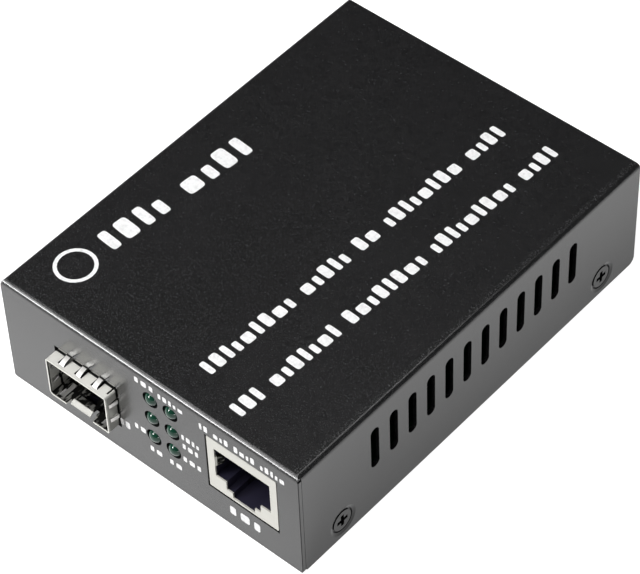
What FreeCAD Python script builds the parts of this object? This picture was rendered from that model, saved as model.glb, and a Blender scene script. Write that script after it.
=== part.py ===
import FreeCAD, Part
import math
import os
import re

import Sketcher
from FreeCAD import Rotation, Vector

# Fibre media converter: a folded sheet-steel case with an SFP cage, six status lamps and a shielded
# copper jack in front, and a power inlet at the back.
#
# Millimetres. The origin is the centre of the case's underside, +Z is up, the front panel faces -Y
# and +X is to the right of someone who looks at the front panel.

# ----------------------------------------------------------------------------------- sizes

SIZES = [
    ("case_width", 70, "case, left to right"),
    ("case_depth", 94, "case, front panel to rear edge"),
    ("case_height", 26, "case, underside to top"),
    ("sheet_wall", 0.8, "thickness of the steel sheet"),
    ("bend_inner", 0.2, "inside radius of a fold in the sheet"),
    ("seam", 0.08, "open seam between the front panel's edge and a side"),
    ("corner_relief", 0.2, "relief at each end of the front fold"),
    ("panel_corner", 0.5, "radius of the lower corners at the front"),
    ("side_rear_corner", 1.5, "radius of each side's lower rear corner"),
    ("fit_gap", 0.1, "gap between the cover and the base"),
    ("past", 1.0, "how far a cutting shape runs past what it cuts"),
    ("flange_rise", 8.0, "height of the base's side flanges"),
    ("relief_gap", 0.6, "gap between the base's flanges and its rear fold"),
    ("slot_count", 12, "ventilation slots in each side"),
    ("slot_spacing", 5.0, "ventilation slots, spacing"),
    ("slot_width", 2.2, "ventilation slot, width"),
    ("slot_length", 10.2, "ventilation slot, end to end"),
    ("slot_level", 16.0, "ventilation slots, height of their middle"),
    ("screw_front", 10.7, "front case screws, distance behind the front of the case"),
    ("screw_rear", 10.1, "rear case screws, distance before the rear of the case"),
    ("screw_level", 4.2, "case screws, height"),
    ("screw_shank", 1.25, "case screw, thread radius"),
    ("screw_head", 2.25, "case screw, countersunk head radius"),
    ("screw_rim", 0.2, "case screw, height of its head's straight rim"),
    ("screw_length", 4.0, "case screw, length over all"),
    ("screw_sunk", 0.15, "depth of a case screw's head below the side"),
    ("dimple_radius", 3.3, "dimple round a case screw, radius at the side's surface"),
    ("dimple_depth", 0.2, "dimple round a case screw, depth"),
    ("moat_width", 0.38, "gap round a case screw's head, width"),
    ("moat_depth", 0.5, "gap round a case screw's head, depth below the side"),
    ("cross_span", 2.7, "cross recess, tip to tip"),
    ("cross_slot", 0.8, "cross recess, width of each slot"),
    ("cross_depth", 0.8, "cross recess, depth"),
    ("standoff_rise", 4.7, "stand-off, height above the base's floor"),
    ("standoff_radius", 2.9, "stand-off, distance from its axis to each of its six edges"),
    ("board_screw_shank", 1.25, "board screw, thread radius"),
    ("board_screw_head", 2.5, "board screw, pan head radius"),
    ("board_screw_rise", 1.6, "board screw, height of its head"),
    ("board_screw_grip", 4.0, "board screw, thread below the board"),
    ("board_screw_gap", 0.25, "board screw's clearance in the board"),
    ("fixing_inset", 4.5, "stand-offs, distance from the board's sides"),
    ("fixing_front", 21.0, "front stand-offs, distance behind the front of the case"),
    ("fixing_rear", 11.0, "rear stand-offs, distance before the rear of the case"),
    ("board_side_gap", 1.3, "circuit board's gap to the base's flanges"),
    ("board_wall", 1.6, "circuit board, thickness"),
    ("board_front_gap", 0.8, "circuit board's gap behind the front panel"),
    ("board_rear_gap", 0.8, "circuit board's gap before the rear panel"),
    ("pin_gap", 0.1, "clearance of a pin or post in its hole in the board"),
    ("pin_below", 1.2, "length of a pin or post below the board"),
    ("cage_inset", 20.0, "SFP cage, distance of its middle from the left side"),
    ("cage_width", 14.6, "SFP cage, width"),
    ("cage_height", 9.5, "SFP cage, height"),
    ("cage_length", 48.8, "SFP cage, length"),
    ("cage_reach", 2.8, "SFP cage, how far it stands out of the front panel"),
    ("cage_wall", 0.25, "SFP cage, thickness of its sheet"),
    ("cage_corner", 0.35, "SFP cage, outer radius of its folds"),
    ("cage_lap", 0.85, "SFP cage, outer radius of the lapped fold at the lower left"),
    ("cage_rear_gap", 9.0, "SFP cage, length of its open floor over the connector"),
    ("cage_pin", 0.6, "SFP cage, width of a board pin"),
    ("cage_pin_count", 5, "SFP cage, board pins on each side"),
    ("cage_pin_spacing", 9.5, "SFP cage, spacing of the board pins"),
    ("opening_side_gap", 0.4, "panel opening, gap at each side of the cage"),
    ("opening_top_gap", 0.85, "panel opening, gap above the cage"),
    ("opening_lower_gap", 0.55, "panel opening, gap below the cage"),
    ("finger_start", 0.75, "spring fingers, distance behind the cage's front edge"),
    ("finger_length", 4.8, "spring finger, length of its window"),
    ("finger_sheet", 0.2, "spring finger, thickness"),
    ("finger_gap", 0.2, "slit at each side of a spring finger"),
    ("top_finger", 1.2, "upper spring finger, width"),
    ("top_finger_spacing", 4.0, "upper spring fingers, spacing"),
    ("top_finger_rise", 0.75, "upper spring finger, bulge"),
    ("side_finger", 0.9, "side spring finger, width"),
    ("side_finger_spacing", 3.8, "side spring fingers, spacing"),
    ("side_finger_rise", 0.32, "side and lower spring fingers, bulge"),
    ("floor_finger_spacing", 10.4, "lower spring fingers, spacing"),
    ("lid_slit", 0.4, "slit beside the lid's folded edge, width"),
    ("lid_slit_inset", 0.35, "slit beside the lid's folded edge, distance from the side"),
    ("notch_width", 5.4, "notch in the cage's floor, width"),
    ("notch_length", 8.8, "notch in the cage's floor, length"),
    ("notch_flare", 0.65, "notch in the cage's floor, widening at its mouth"),
    ("notch_flare_length", 1.6, "notch in the cage's floor, length of the flared mouth"),
    ("tongue_width", 4.8, "latch tongue, width"),
    ("tongue_rise", 0.85, "latch tongue, height of its bend above the floor"),
    ("tongue_bend", 1.15, "latch tongue, distance of its bend behind the front edge"),
    ("tongue_tip", 0.3, "latch tongue, distance of its tip behind the front edge"),
    ("tongue_drop", 0.45, "latch tongue, drop from its bend to its tip"),
    ("latch_start", 2.7, "latch hole, distance of its base behind the front edge"),
    ("latch_width", 3.4, "latch hole, width of its base"),
    ("latch_length", 2.9, "latch hole, base to tip"),
    ("socket_width", 12.0, "SFP connector, width"),
    ("socket_height", 6.0, "SFP connector, height"),
    ("socket_length", 6.6, "SFP connector, length"),
    ("socket_rear_gap", 1.4, "SFP connector's gap before the cage's rear wall"),
    ("socket_slot_width", 9.4, "SFP connector, width of its card slot"),
    ("socket_slot", 1.5, "SFP connector, height of its card slot"),
    ("socket_slot_level", 3.0, "SFP connector, height of its card slot above the board"),
    ("contact_spacing", 0.8, "SFP connector, contact spacing"),
    ("contact_count", 10, "SFP connector, contacts in each row"),
    ("contact_width", 0.3, "SFP connector, contact width"),
    ("contact_sheet", 0.2, "SFP connector, contact thickness"),
    ("contact_foot", 1.0, "SFP connector, length of a contact's foot"),
    ("jack_side", 13.2, "copper jack, distance of its middle from the right side"),
    ("jack_width", 15.9, "copper jack, width"),
    ("jack_height", 13.5, "copper jack, height"),
    ("jack_length", 15.8, "copper jack, length"),
    ("jack_lift", 0.45, "copper jack, height of its shield above the board"),
    ("jack_inset", 0.1, "copper jack, how far its face lies behind the panel's face"),
    ("jack_wall", 0.3, "copper jack, thickness of its shield"),
    ("jack_corner", 0.3, "copper jack, outer radius of the shield's folds"),
    ("jack_gap", 0.3, "panel opening, gap around the copper jack"),
    ("mouth_width", 12.7, "copper jack, width of its mouth"),
    ("mouth_top", 2.35, "copper jack, depth of the mouth's upper edge below the top"),
    ("mouth_height", 7.4, "copper jack, height of the mouth's main part"),
    ("step_width", 7.9, "copper jack, width of the mouth's step"),
    ("step_drop", 1.95, "copper jack, height of the mouth's step"),
    ("notch_span", 5.1, "copper jack, width of the latch notch"),
    ("notch_drop", 1.3, "copper jack, height of the latch notch"),
    ("mouth_depth", 13.0, "copper jack, depth of its socket"),
    ("wing_height", 2.4, "copper jack, height of each shield spring in the mouth"),
    ("wing_top", 2.45, "copper jack, distance of the shield springs below the mouth's top"),
    ("wing_length", 1.6, "copper jack, length of each shield spring"),
    ("wing_lean", 0.75, "copper jack, how far each shield spring leans inwards"),
    ("wire_spacing", 1.02, "copper jack, contact spacing"),
    ("wire_count", 8, "copper jack, contacts"),
    ("wire_width", 0.45, "copper jack, contact width"),
    ("wire_sheet", 0.3, "copper jack, contact thickness"),
    ("wire_reach", 9.0, "copper jack, length of its contacts"),
    ("wire_flat", 1.8, "copper jack, length of its contacts' level ends at the back wall"),
    ("wire_drop", 2.8, "copper jack, how far its contacts hang into the socket"),
    ("rail_width", 2.4, "copper jack, width of each rail under its housing"),
    ("post_width", 1.6, "copper jack, width of a board post"),
    ("post_setback", 9.0, "copper jack, distance of its board posts behind the face"),
    ("lamp_x", 0.85, "status lamps, middle of the left column"),
    ("lamp_column", 4.7, "status lamps, distance between the columns"),
    ("lamp_lift", 3.15, "status lamps, height of the lowest row above the board"),
    ("lamp_top_share", 0.785, "status lamps, height of the top row as a share of the case's height"),
    ("lamp_hole", 1.75, "status lamp, radius of its hole in the panel"),
    ("lamp_radius", 1.5, "status lamp, radius"),
    ("lamp_reach", 0.6, "status lamp, how far its dome stands out of the panel"),
    ("lamp_length", 4.4, "status lamp, dome tip to flange"),
    ("lamp_flange", 1.9, "status lamp, radius of its flange"),
    ("lamp_flange_length", 1.0, "status lamp, thickness of its flange"),
    ("lamp_gap", 0.05, "clearance of a lamp in its holder"),
    ("lead_spacing", 2.54, "status lamp, distance between its leads"),
    ("lead_width", 0.5, "status lamp, width of a lead"),
    ("lead_reach", 1.6, "lamp leads, distance of the lowest row's bend behind the lamps"),
    ("lead_step", 1.5, "lamp leads, extra distance for each row above"),
    ("holder_front_gap", 0.5, "lamp holder's gap behind the front panel"),
    ("holder_length", 4.6, "lamp holder, front to back"),
    ("holder_margin", 2.35, "lamp holder, material beyond the outer lamps"),
    ("inlet_side", 17.0, "power inlet, distance of its middle from the right side"),
    ("inlet_width", 9.0, "power inlet, width"),
    ("inlet_height", 11.0, "power inlet, height"),
    ("inlet_length", 14.0, "power inlet, length"),
    ("inlet_level", 6.5, "power inlet, height of its bore above the board"),
    ("inlet_inset", 0.2, "power inlet, how far its face lies behind the rear face"),
    ("inlet_gap", 0.2, "rear opening, gap around the power inlet"),
    ("inlet_bore", 3.15, "power inlet, radius of its bore"),
    ("inlet_depth", 9.5, "power inlet, depth of its bore"),
    ("inlet_pin", 1.0, "power inlet, radius of its centre pin"),
    ("inlet_rivet", 0.7, "power inlet, radius of the pin's riveted tail"),
    ("inlet_pin_inset", 1.0, "power inlet, distance of the pin's tip behind the face"),
    ("lug_width", 2.4, "power inlet, width of a terminal lug"),
    ("lug_sheet", 0.6, "power inlet, thickness of a terminal lug"),
    ("strip_width", 3.0, "power inlet, width of its side contact"),
    ("strip_sheet", 0.4, "power inlet, thickness of its side contact"),
    ("strip_tail", 4.5, "power inlet, distance of the side contact's lug behind the face"),
    ("coil_inset", 17.0, "power inductor, distance of its middle from the left side"),
    ("coil_y", 14.0, "power inductor, middle"),
    ("coil_side", 12.0, "power inductor, side"),
    ("coil_height", 6.0, "power inductor, height"),
    ("coil_corner", 2.0, "power inductor, corner radius"),
    ("coil_dish", 4.0, "power inductor, radius of the dish in its top"),
    ("coil_dish_depth", 0.6, "power inductor, depth of the dish"),
    ("can_radius", 4.0, "electrolytic capacitor, radius"),
    ("can_height", 11.5, "electrolytic capacitor, height"),
    ("can_x", 2.0, "first electrolytic capacitor, middle"),
    ("can_setback", 13.0, "electrolytic capacitors, distance of their middle before the rear of the case"),
    ("can_spacing", 10.5, "electrolytic capacitors, spacing"),
    ("can_count", 2, "electrolytic capacitors"),
    ("can_lead", 0.6, "electrolytic capacitor, lead width"),
    ("can_lead_spacing", 3.5, "electrolytic capacitor, distance between its leads"),
    ("chip_x", 2.0, "converter chip, middle"),
    ("chip_y", -2.0, "converter chip, middle"),
    ("chip_side", 12.0, "converter chip, side"),
    ("chip_height", 1.0, "converter chip, height"),
    ("chip_dot", 0.6, "converter chip, radius of its corner mark"),
    ("chip_dot_depth", 0.2, "converter chip, depth of its corner mark"),
    ("chip_dot_inset", 1.6, "converter chip, distance of its corner mark from the edges"),
    ("magnetics_setback", 35.0, "line transformer, distance of its middle behind the front of the case"),
    ("magnetics_width", 15.2, "line transformer, width"),
    ("magnetics_depth", 9.4, "line transformer, front to back"),
    ("magnetics_height", 5.6, "line transformer, height"),
    ("magnetics_lift", 0.3, "line transformer, height above the board"),
    ("magnetics_shoulder", 1.9, "line transformer, height of its leads' shoulders above its underside"),
    ("magnetics_spacing", 1.2, "line transformer, lead spacing"),
    ("magnetics_leads", 12, "line transformer, leads on each side"),
    ("magnetics_lead", 0.5, "line transformer, lead width"),
    ("magnetics_foot", 1.0, "line transformer, length of a lead's foot"),
    ("lead_sheet", 0.25, "line transformer, lead thickness"),
    ("poe_x", 14.0, "power-over-cable controller, middle"),
    ("poe_y", 8.0, "power-over-cable controller, middle"),
    ("poe_side", 6.0, "power-over-cable controller, side"),
    ("poe_height", 0.9, "power-over-cable controller, height"),
    ("crystal_x", 2.0, "clock crystal, middle"),
    ("crystal_y", 12.0, "clock crystal, middle"),
    ("crystal_width", 11.2, "clock crystal, length of its can"),
    ("crystal_depth", 4.6, "clock crystal, width of its can"),
    ("crystal_height", 3.6, "clock crystal, height"),
    ("fuse_side", 9.0, "input fuse, distance of its middle from the right side"),
    ("fuse_setback", 25.0, "input fuse, distance of its middle before the rear of the case"),
    ("fuse_length", 7.4, "input fuse, length"),
    ("fuse_width", 3.0, "input fuse, width and height"),
    ("fuse_cap", 1.5, "input fuse, length of each end cap"),
    ("small_count", 6, "small ceramic capacitors in the row behind the chip"),
    ("small_spacing", 2.6, "small ceramic capacitors, spacing"),
    ("small_width", 1.2, "small ceramic capacitor, width"),
    ("small_length", 2.0, "small ceramic capacitor, length"),
    ("small_height", 0.9, "small ceramic capacitor, height"),
    ("small_x", -4.5, "first small ceramic capacitor, middle"),
    ("small_y", 20.0, "small ceramic capacitors, middle"),
]

# Places that follow from the sizes.
HALF = "(case_width / 2)"
FRONT = "(-case_depth / 2)"
REAR = "(case_depth / 2)"
PANEL_BACK = f"({FRONT} + sheet_wall)"
REAR_PANEL = f"({REAR} - sheet_wall)"
BEND = "(bend_inner + sheet_wall)"
FLOOR = "sheet_wall"
BOARD_UNDER = f"({FLOOR} + standoff_rise)"
BOARD_TOP = f"({BOARD_UNDER} + board_wall)"
BOARD_FRONT = f"({PANEL_BACK} + board_front_gap)"
BOARD_REAR = f"({REAR_PANEL} - board_rear_gap)"
PIN_END = f"({BOARD_UNDER} - pin_below)"
BASE_HALF = f"({HALF} - sheet_wall - fit_gap)"
BOARD_HALF = f"({BASE_HALF} - sheet_wall - board_side_gap)"
FIXING_X = f"({BOARD_HALF} - fixing_inset)"
FIXING_FRONT = f"({FRONT} + fixing_front)"
FIXING_REAR = f"({REAR} - fixing_rear)"
SCREW_PLACES = (("front", f"({FRONT} + screw_front)"), ("rear", f"({REAR} - screw_rear)"))
SCREW_RIM_END = "(screw_sunk + screw_rim)"
SCREW_CONE_END = f"({SCREW_RIM_END} + screw_head - screw_shank)"
CAGE_X = f"(cage_inset - {HALF})"
COIL_X = f"(coil_inset - {HALF})"
JACK_X = f"({HALF} - jack_side)"
INLET_X = f"({HALF} - inlet_side)"
MAGNETICS_Y = f"({FRONT} + magnetics_setback)"
CAN_Y = f"({REAR} - can_setback)"
FUSE_X = f"({HALF} - fuse_side)"
FUSE_Y = f"({REAR} - fuse_setback)"

CAGE_FRONT = f"({FRONT} - cage_reach)"
CAGE_REAR = f"({CAGE_FRONT} + cage_length)"
CAGE_LEFT = f"({CAGE_X} - cage_width / 2)"
CAGE_RIGHT = f"({CAGE_X} + cage_width / 2)"
CAGE_LOW = BOARD_TOP
CAGE_HIGH = f"({BOARD_TOP} + cage_height)"
CAGE_MIDDLE = f"({BOARD_TOP} + cage_height / 2)"
FINGER_FRONT = f"({CAGE_FRONT} + finger_start)"
FINGER_REAR = f"({FINGER_FRONT} + finger_length)"
FINGER_MIDDLE = f"({FINGER_FRONT} + finger_length / 2)"
NOTCH_REAR = f"({CAGE_FRONT} + notch_length)"

JACK_FRONT = f"({FRONT} + jack_inset)"
JACK_REAR = f"({JACK_FRONT} + jack_length)"
JACK_LOW = f"({BOARD_TOP} + jack_lift)"
JACK_HIGH = f"({JACK_LOW} + jack_height)"
MOUTH_TOP = f"({JACK_HIGH} - mouth_top)"
MOUTH_LOW = f"({MOUTH_TOP} - mouth_height)"
STEP_LOW = f"({MOUTH_LOW} - step_drop)"
NOTCH_LOW = f"({STEP_LOW} - notch_drop)"
SOCKET_END = f"({JACK_FRONT} + jack_wall + mouth_depth)"

LAMP_TIP = f"({FRONT} - lamp_reach)"
LAMP_SEAT = f"({LAMP_TIP} + lamp_length)"
LAMP_BACK = f"({LAMP_SEAT} + lamp_flange_length)"
HOLDER_FRONT = f"({PANEL_BACK} + holder_front_gap)"

INLET_FACE = f"({REAR} - inlet_inset)"
INLET_FRONT = f"({INLET_FACE} - inlet_length)"
INLET_AXIS = f"({BOARD_TOP} + inlet_level)"
BORE_END = f"({INLET_FACE} - inlet_depth)"

LAMP_GRID = [(column, row) for row in range(3) for column in range(2)]
LAMP_LOW = f"({BOARD_TOP} + lamp_lift)"
LAMP_SPREAD = f"(case_height * lamp_top_share - {LAMP_LOW})"
LAMP_CENTRES = [(f"(lamp_x + {column} * lamp_column)", f"({LAMP_LOW} + {row} * {LAMP_SPREAD} / 2)")
                for column, row in LAMP_GRID]
FIXINGS = [(x, y) for x in (f"-{FIXING_X}", FIXING_X) for y in (FIXING_FRONT, FIXING_REAR)]

# ------------------------------------------------------------------------- document helpers

doc = FreeCAD.newDocument("MediaConverter")
sheet = doc.addObject("Spreadsheet::Sheet", "Sizes")
for row, (alias, amount, meaning) in enumerate(SIZES, start=1):
    sheet.set(f"A{row}", meaning)
    sheet.set(f"B{row}", str(amount))
    sheet.setAlias(f"B{row}", alias)
doc.recompute()

ALIASES = {alias for alias, amount, meaning in SIZES}
ALONG = {"x": Vector(1, 0, 0), "y": Vector(0, 1, 0), "z": Vector(0, 0, 1)}


def bound(text):
    """The expression for a text in which each size is called by its alias alone."""
    return re.sub(r"[a-z_]+", lambda word: f"Sizes.{word[0]}" if word[0] in ALIASES else word[0], text)


def bind(thing, path, text):
    thing.setExpression(path, bound(text))


def amount_of(text):
    return float(sheet.evalExpression(bound(text)))


def place(thing, x, y, z):
    for axis, text in zip("xyz", (x, y, z)):
        bind(thing, f"Placement.Base.{axis}", text)


# Sketches: an outline is a list of corners, anticlockwise, each held by its distances from the
# sketch's origin. A third entry makes the side that starts at the corner an arc of that radius,
# round a centre on the left, or on the right where the radius has a minus sign.

def arc_between(start, end, radius):
    chord = end - start
    to_left = Vector(-chord.y, chord.x, 0).normalize()
    height = math.sqrt(max(radius ** 2 - chord.Length ** 2 / 4, 0))
    centre = (start + end) / 2 + to_left * math.copysign(height, radius)
    first, last = (start, end) if radius > 0 else (end, start)
    angles = [math.atan2(point.y - centre.y, point.x - centre.x) for point in (first, last)]
    return Part.ArcOfCircle(Part.Circle(centre, Vector(0, 0, 1), abs(radius)), *angles)


def draw_outline(sketch, corners):
    points = [Vector(amount_of(corner[0]), amount_of(corner[1]), 0) for corner in corners]
    sides = []
    for number, corner in enumerate(corners):
        start, end = points[number], points[(number + 1) % len(points)]
        if len(corner) == 2:
            side = sketch.addGeometry(Part.LineSegment(start, end))
            sides.append(((side, 1), (side, 2)))
            continue
        radius = amount_of(corner[2])
        side = sketch.addGeometry(arc_between(start, end, radius))
        sides.append(((side, 1), (side, 2)) if radius > 0 else ((side, 2), (side, 1)))
        held = sketch.addConstraint(Sketcher.Constraint("Radius", side, abs(radius)))
        bind(sketch, f"Constraints[{held}]", f"abs({corner[2]})")
    for number, corner in enumerate(corners):
        start, before = sides[number][0], sides[number - 1][1]
        sketch.addConstraint(Sketcher.Constraint("Coincident", *before, *start))
        for kind, text, at in (("DistanceX", corner[0], points[number].x),
                               ("DistanceY", corner[1], points[number].y)):
            held = sketch.addConstraint(Sketcher.Constraint(kind, -1, 1, *start, at))
            bind(sketch, f"Constraints[{held}]", text)


def hold_centre(sketch, number, u, v):
    for kind, text in (("DistanceX", u), ("DistanceY", v)):
        held = sketch.addConstraint(Sketcher.Constraint(kind, -1, 1, number, 3, amount_of(text)))
        bind(sketch, f"Constraints[{held}]", text)


def circle(u, v, radius):
    """The drawing of a circle."""
    def draw(sketch):
        centre = Vector(amount_of(u), amount_of(v), 0)
        number = sketch.addGeometry(Part.Circle(centre, Vector(0, 0, 1), amount_of(radius)))
        hold_centre(sketch, number, u, v)
        held = sketch.addConstraint(Sketcher.Constraint("Radius", number, amount_of(radius)))
        bind(sketch, f"Constraints[{held}]", radius)
    return draw


def slot(u, v, width, length):
    """The drawing of an upright slot with round ends, about (u, v)."""
    def draw(sketch):
        radius = amount_of(width) / 2
        reach = (amount_of(length) - amount_of(width)) / 2
        middle = Vector(amount_of(u), amount_of(v), 0)
        for turn, rise in ((0, reach), (math.pi, -reach)):
            end = Part.Circle(middle + Vector(0, rise, 0), Vector(0, 0, 1), radius)
            sketch.addGeometry(Part.ArcOfCircle(end, turn, turn + math.pi))
        for way in (1, -1):
            side = Vector(radius * way, 0, 0)
            run = Vector(0, reach * way, 0)
            sketch.addGeometry(Part.LineSegment(middle + side - run, middle + side + run))
        for first, last in (((1, 2), (2, 1)), ((2, 2), (0, 1)), ((0, 2), (3, 1)), ((3, 2), (1, 1))):
            sketch.addConstraint(Sketcher.Constraint("Tangent", *first, *last))
        sketch.addConstraint(Sketcher.Constraint("Equal", 0, 1))
        held = sketch.addConstraint(Sketcher.Constraint("Radius", 0, radius))
        bind(sketch, f"Constraints[{held}]", f"{width} / 2")
        hold_centre(sketch, 0, u, f"{v} + ({length} - {width}) / 2")
        hold_centre(sketch, 1, u, f"{v} - ({length} - {width}) / 2")
    return draw


def rectangle(left, right, low, high):
    return [(left, low), (right, low), (right, high), (left, high)]


def rounded(left, right, low, high, radius):
    return [
        (f"{left} + {radius}", low), (f"{right} - {radius}", low, radius),
        (right, f"{low} + {radius}"), (right, f"{high} - {radius}", radius),
        (f"{right} - {radius}", high), (f"{left} + {radius}", high, radius),
        (left, f"{high} - {radius}"), (left, f"{low} + {radius}", radius),
    ]


def new_body(name):
    made = doc.addObject("PartDesign::Body", name)
    made.AllowCompound = True
    return made


def origin_of(body, role):
    return next(feature for feature in body.Origin.OriginFeatures if feature.Role == role)


def extrude(body, kind, name, plane, low, high, *drawings):
    """A Pad or Pocket of the drawings, from low to high along the axis that the plane lies across."""
    sketch = body.newObject("Sketcher::SketchObject", f"{name}_sketch")
    sketch.AttachmentSupport = (origin_of(body, f"{plane}_Plane"), [""])
    sketch.MapMode = "FlatFace"
    bind(sketch, "AttachmentOffset.Base.z", f"-({low})" if plane == "XZ" else low)
    for drawing in drawings:
        if isinstance(drawing, list):
            draw_outline(sketch, drawing)
        else:
            drawing(sketch)
    feature = body.newObject(f"PartDesign::{kind}", name)
    feature.Profile = sketch
    bind(feature, "Length", f"({high}) - ({low})")
    feature.Reversed = (kind == "Pad") == (plane == "XZ")
    return feature


def pad(body, name, plane, low, high, *drawings):
    return extrude(body, "Pad", name, plane, low, high, *drawings)


def pocket(body, name, plane, low, high, *drawings):
    return extrude(body, "Pocket", name, plane, low, high, *drawings)


def trim_corner(body, name, plane, low, high, corner, inwards, radius):
    """Rounds one straight corner: inwards is the sign of the way into the sheet along each axis."""
    u, v = corner
    along_u = (f"{u} + {inwards[0]} * {radius}", v)
    along_v = (u, f"{v} + {inwards[1]} * {radius}")
    start, end = (along_u, along_v) if inwards[0] == inwards[1] else (along_v, along_u)
    return pocket(body, name, plane, low, high, [(u, v), (*start, f"-{radius}"), end])


def repeat(body, feature, axis, count, pitch):
    """Copies a feature along an axis."""
    pattern = body.newObject("PartDesign::LinearPattern", f"{feature.Name}_row")
    pattern.Originals = [feature]
    pattern.Direction = (origin_of(body, f"{axis}_Axis"), [""])
    pattern.Mode = "Spacing"
    bind(pattern, "Occurrences", count)
    bind(pattern, "Offset", pitch)
    body.Tip = pattern


# Primitives and booleans.

def block(name, x, y, z):
    """A box between a low and a high place along each axis."""
    made = doc.addObject("Part::Box", name)
    for prop, (low, high) in (("Length", x), ("Width", y), ("Height", z)):
        bind(made, prop, f"({high}) - ({low})")
    place(made, x[0], y[0], z[0])
    return made


def rod(name, axis, radius, centre, low, high, end_radius=None):
    """A cylinder, or a cone where it ends in another radius, from low to high along an axis."""
    made = doc.addObject("Part::Cone" if end_radius else "Part::Cylinder", name)
    made.Placement.Rotation = Rotation(ALONG["z"], ALONG[axis])
    if end_radius:
        bind(made, "Radius1", radius)
        bind(made, "Radius2", end_radius)
    else:
        bind(made, "Radius", radius)
    bind(made, "Height", f"({high}) - ({low})")
    where = dict(zip([letter for letter in "xyz" if letter != axis], centre))
    where[axis] = low
    place(made, where["x"], where["y"], where["z"])
    return made


def ball(name, radius, x, y, z):
    made = doc.addObject("Part::Sphere", name)
    bind(made, "Radius", radius)
    place(made, x, y, z)
    return made


def fuse(name, pieces):
    made = doc.addObject("Part::MultiFuse", name)
    made.Shapes = pieces
    return made


def cut(name, base, tools):
    made = doc.addObject("Part::Cut", name)
    made.Base = base
    made.Tool = tools[0] if len(tools) == 1 else fuse(f"{name}_tools", tools)
    return made


def common(name, pieces):
    made = doc.addObject("Part::MultiCommon", name)
    made.Shapes = pieces
    return made


def group(name, pieces):
    made = doc.addObject("Part::Compound", name)
    made.Links = pieces
    return made


# ------------------------------------------------------------------------------ the case

def head_radius(depth):
    """The radius of a case screw's cone at a depth below the side."""
    return f"(screw_head + {SCREW_RIM_END} - {depth})"


def sink(body, name, way, reach, deep, shallow, radius, shallow_radius=None):
    """Cuts a round hole, or a tapered one, between two depths below a side of the case."""
    made = body.newObject(f"PartDesign::Subtractive{'Cone' if shallow_radius else 'Cylinder'}", name)
    bind(made, "Radius1" if shallow_radius else "Radius", radius)
    if shallow_radius:
        bind(made, "Radius2", shallow_radius)
    bind(made, "Height", f"({deep}) - ({shallow})")
    made.Placement.Rotation = Rotation(ALONG["z"], ALONG["x"] * way)
    place(made, f"{way} * ({HALF} - ({deep}))", reach, "screw_level")


def make_top_cover():
    """Top, front panel and sides, folded from one sheet."""
    cover = new_body("top_cover")
    side_start = f"{PANEL_BACK} + seam"
    shoulder = f"case_height - {BEND}"
    ceiling = "case_height - sheet_wall"
    inner = f"({HALF} - sheet_wall)"
    pad(cover, "top_and_sides", "XZ", side_start, REAR, [
        (f"-{HALF}", "0"), (f"-{inner}", "0"), (f"-{inner}", shoulder, "-bend_inner"),
        (f"bend_inner - {inner}", ceiling), (f"{inner} - bend_inner", ceiling, "-bend_inner"),
        (inner, shoulder), (inner, "0"), (HALF, "0"), (HALF, shoulder, BEND),
        (f"{HALF} - {BEND}", "case_height"), (f"{BEND} - {HALF}", "case_height", BEND),
        (f"-{HALF}", shoulder),
    ])
    pad(cover, "front_panel", "XZ", FRONT, PANEL_BACK,
        [(f"panel_corner - {HALF}", "0"), (f"{HALF} - panel_corner", "0", "panel_corner"),
         (HALF, "panel_corner"), (HALF, shoulder), (f"-{HALF}", shoulder),
         (f"-{HALF}", "panel_corner", "panel_corner")])
    fold_half = f"({HALF} - corner_relief)"
    pad(cover, "front_fold", "YZ", f"-{fold_half}", fold_half, [
        (FRONT, shoulder), (PANEL_BACK, shoulder, "-bend_inner"),
        (f"{FRONT} + {BEND}", ceiling), (f"{side_start} + {BEND}", ceiling),
        (f"{side_start} + {BEND}", "case_height"), (f"{FRONT} + {BEND}", "case_height", BEND),
    ])
    for side, way in (("left", -1), ("right", 1)):
        trim_corner(cover, f"{side}_fold_end", "XZ", FRONT, f"{side_start} + {BEND}",
                    (f"{way} * {HALF}", "case_height"), (-way, -1), BEND)
    beyond = f"({HALF} + past)"
    trim_corner(cover, "side_rear_corners", "YZ", f"-{beyond}", beyond,
                (REAR, "0"), (-1, 1), "side_rear_corner")
    trim_corner(cover, "side_front_corners", "YZ", f"-{beyond}", beyond,
                (side_start, "0"), (1, 1), "panel_corner")

    through = (f"{FRONT} - past", f"{PANEL_BACK} + seam / 2")
    pocket(cover, "cage_opening", "XZ", *through,
           rectangle(f"{CAGE_LEFT} - opening_side_gap", f"{CAGE_RIGHT} + opening_side_gap",
                     f"{CAGE_LOW} - opening_lower_gap", f"{CAGE_HIGH} + opening_top_gap"))
    pocket(cover, "jack_opening", "XZ", *through,
           rectangle(f"{JACK_X} - jack_width / 2 - jack_gap", f"{JACK_X} + jack_width / 2 + jack_gap",
                     f"{JACK_LOW} - jack_gap", f"{JACK_HIGH} + jack_gap"))
    pocket(cover, "lamp_holes", "XZ", *through,
           *[circle(x, z, "lamp_hole") for x, z in LAMP_CENTRES])
    first_slot = pocket(cover, "vent_slot", "YZ", f"-{beyond}", beyond,
                        slot("-slot_spacing * (slot_count - 1) / 2", "slot_level",
                             "slot_width", "slot_length"))
    repeat(cover, first_slot, "Y", "slot_count", "slot_spacing")

    moat = "(screw_head + moat_width)"
    for side, way in (("left", -1), ("right", 1)):
        for end, reach in SCREW_PLACES:
            name = f"{side}_{end}"
            sink(cover, f"{name}_seat", way, reach, "sheet_wall", "moat_depth",
                 head_radius("sheet_wall"), head_radius("moat_depth"))
            sink(cover, f"{name}_moat", way, reach, "moat_depth", "dimple_depth", moat)
            sink(cover, f"{name}_dimple", way, reach, "dimple_depth", "0", moat, "dimple_radius")
    return cover


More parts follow.
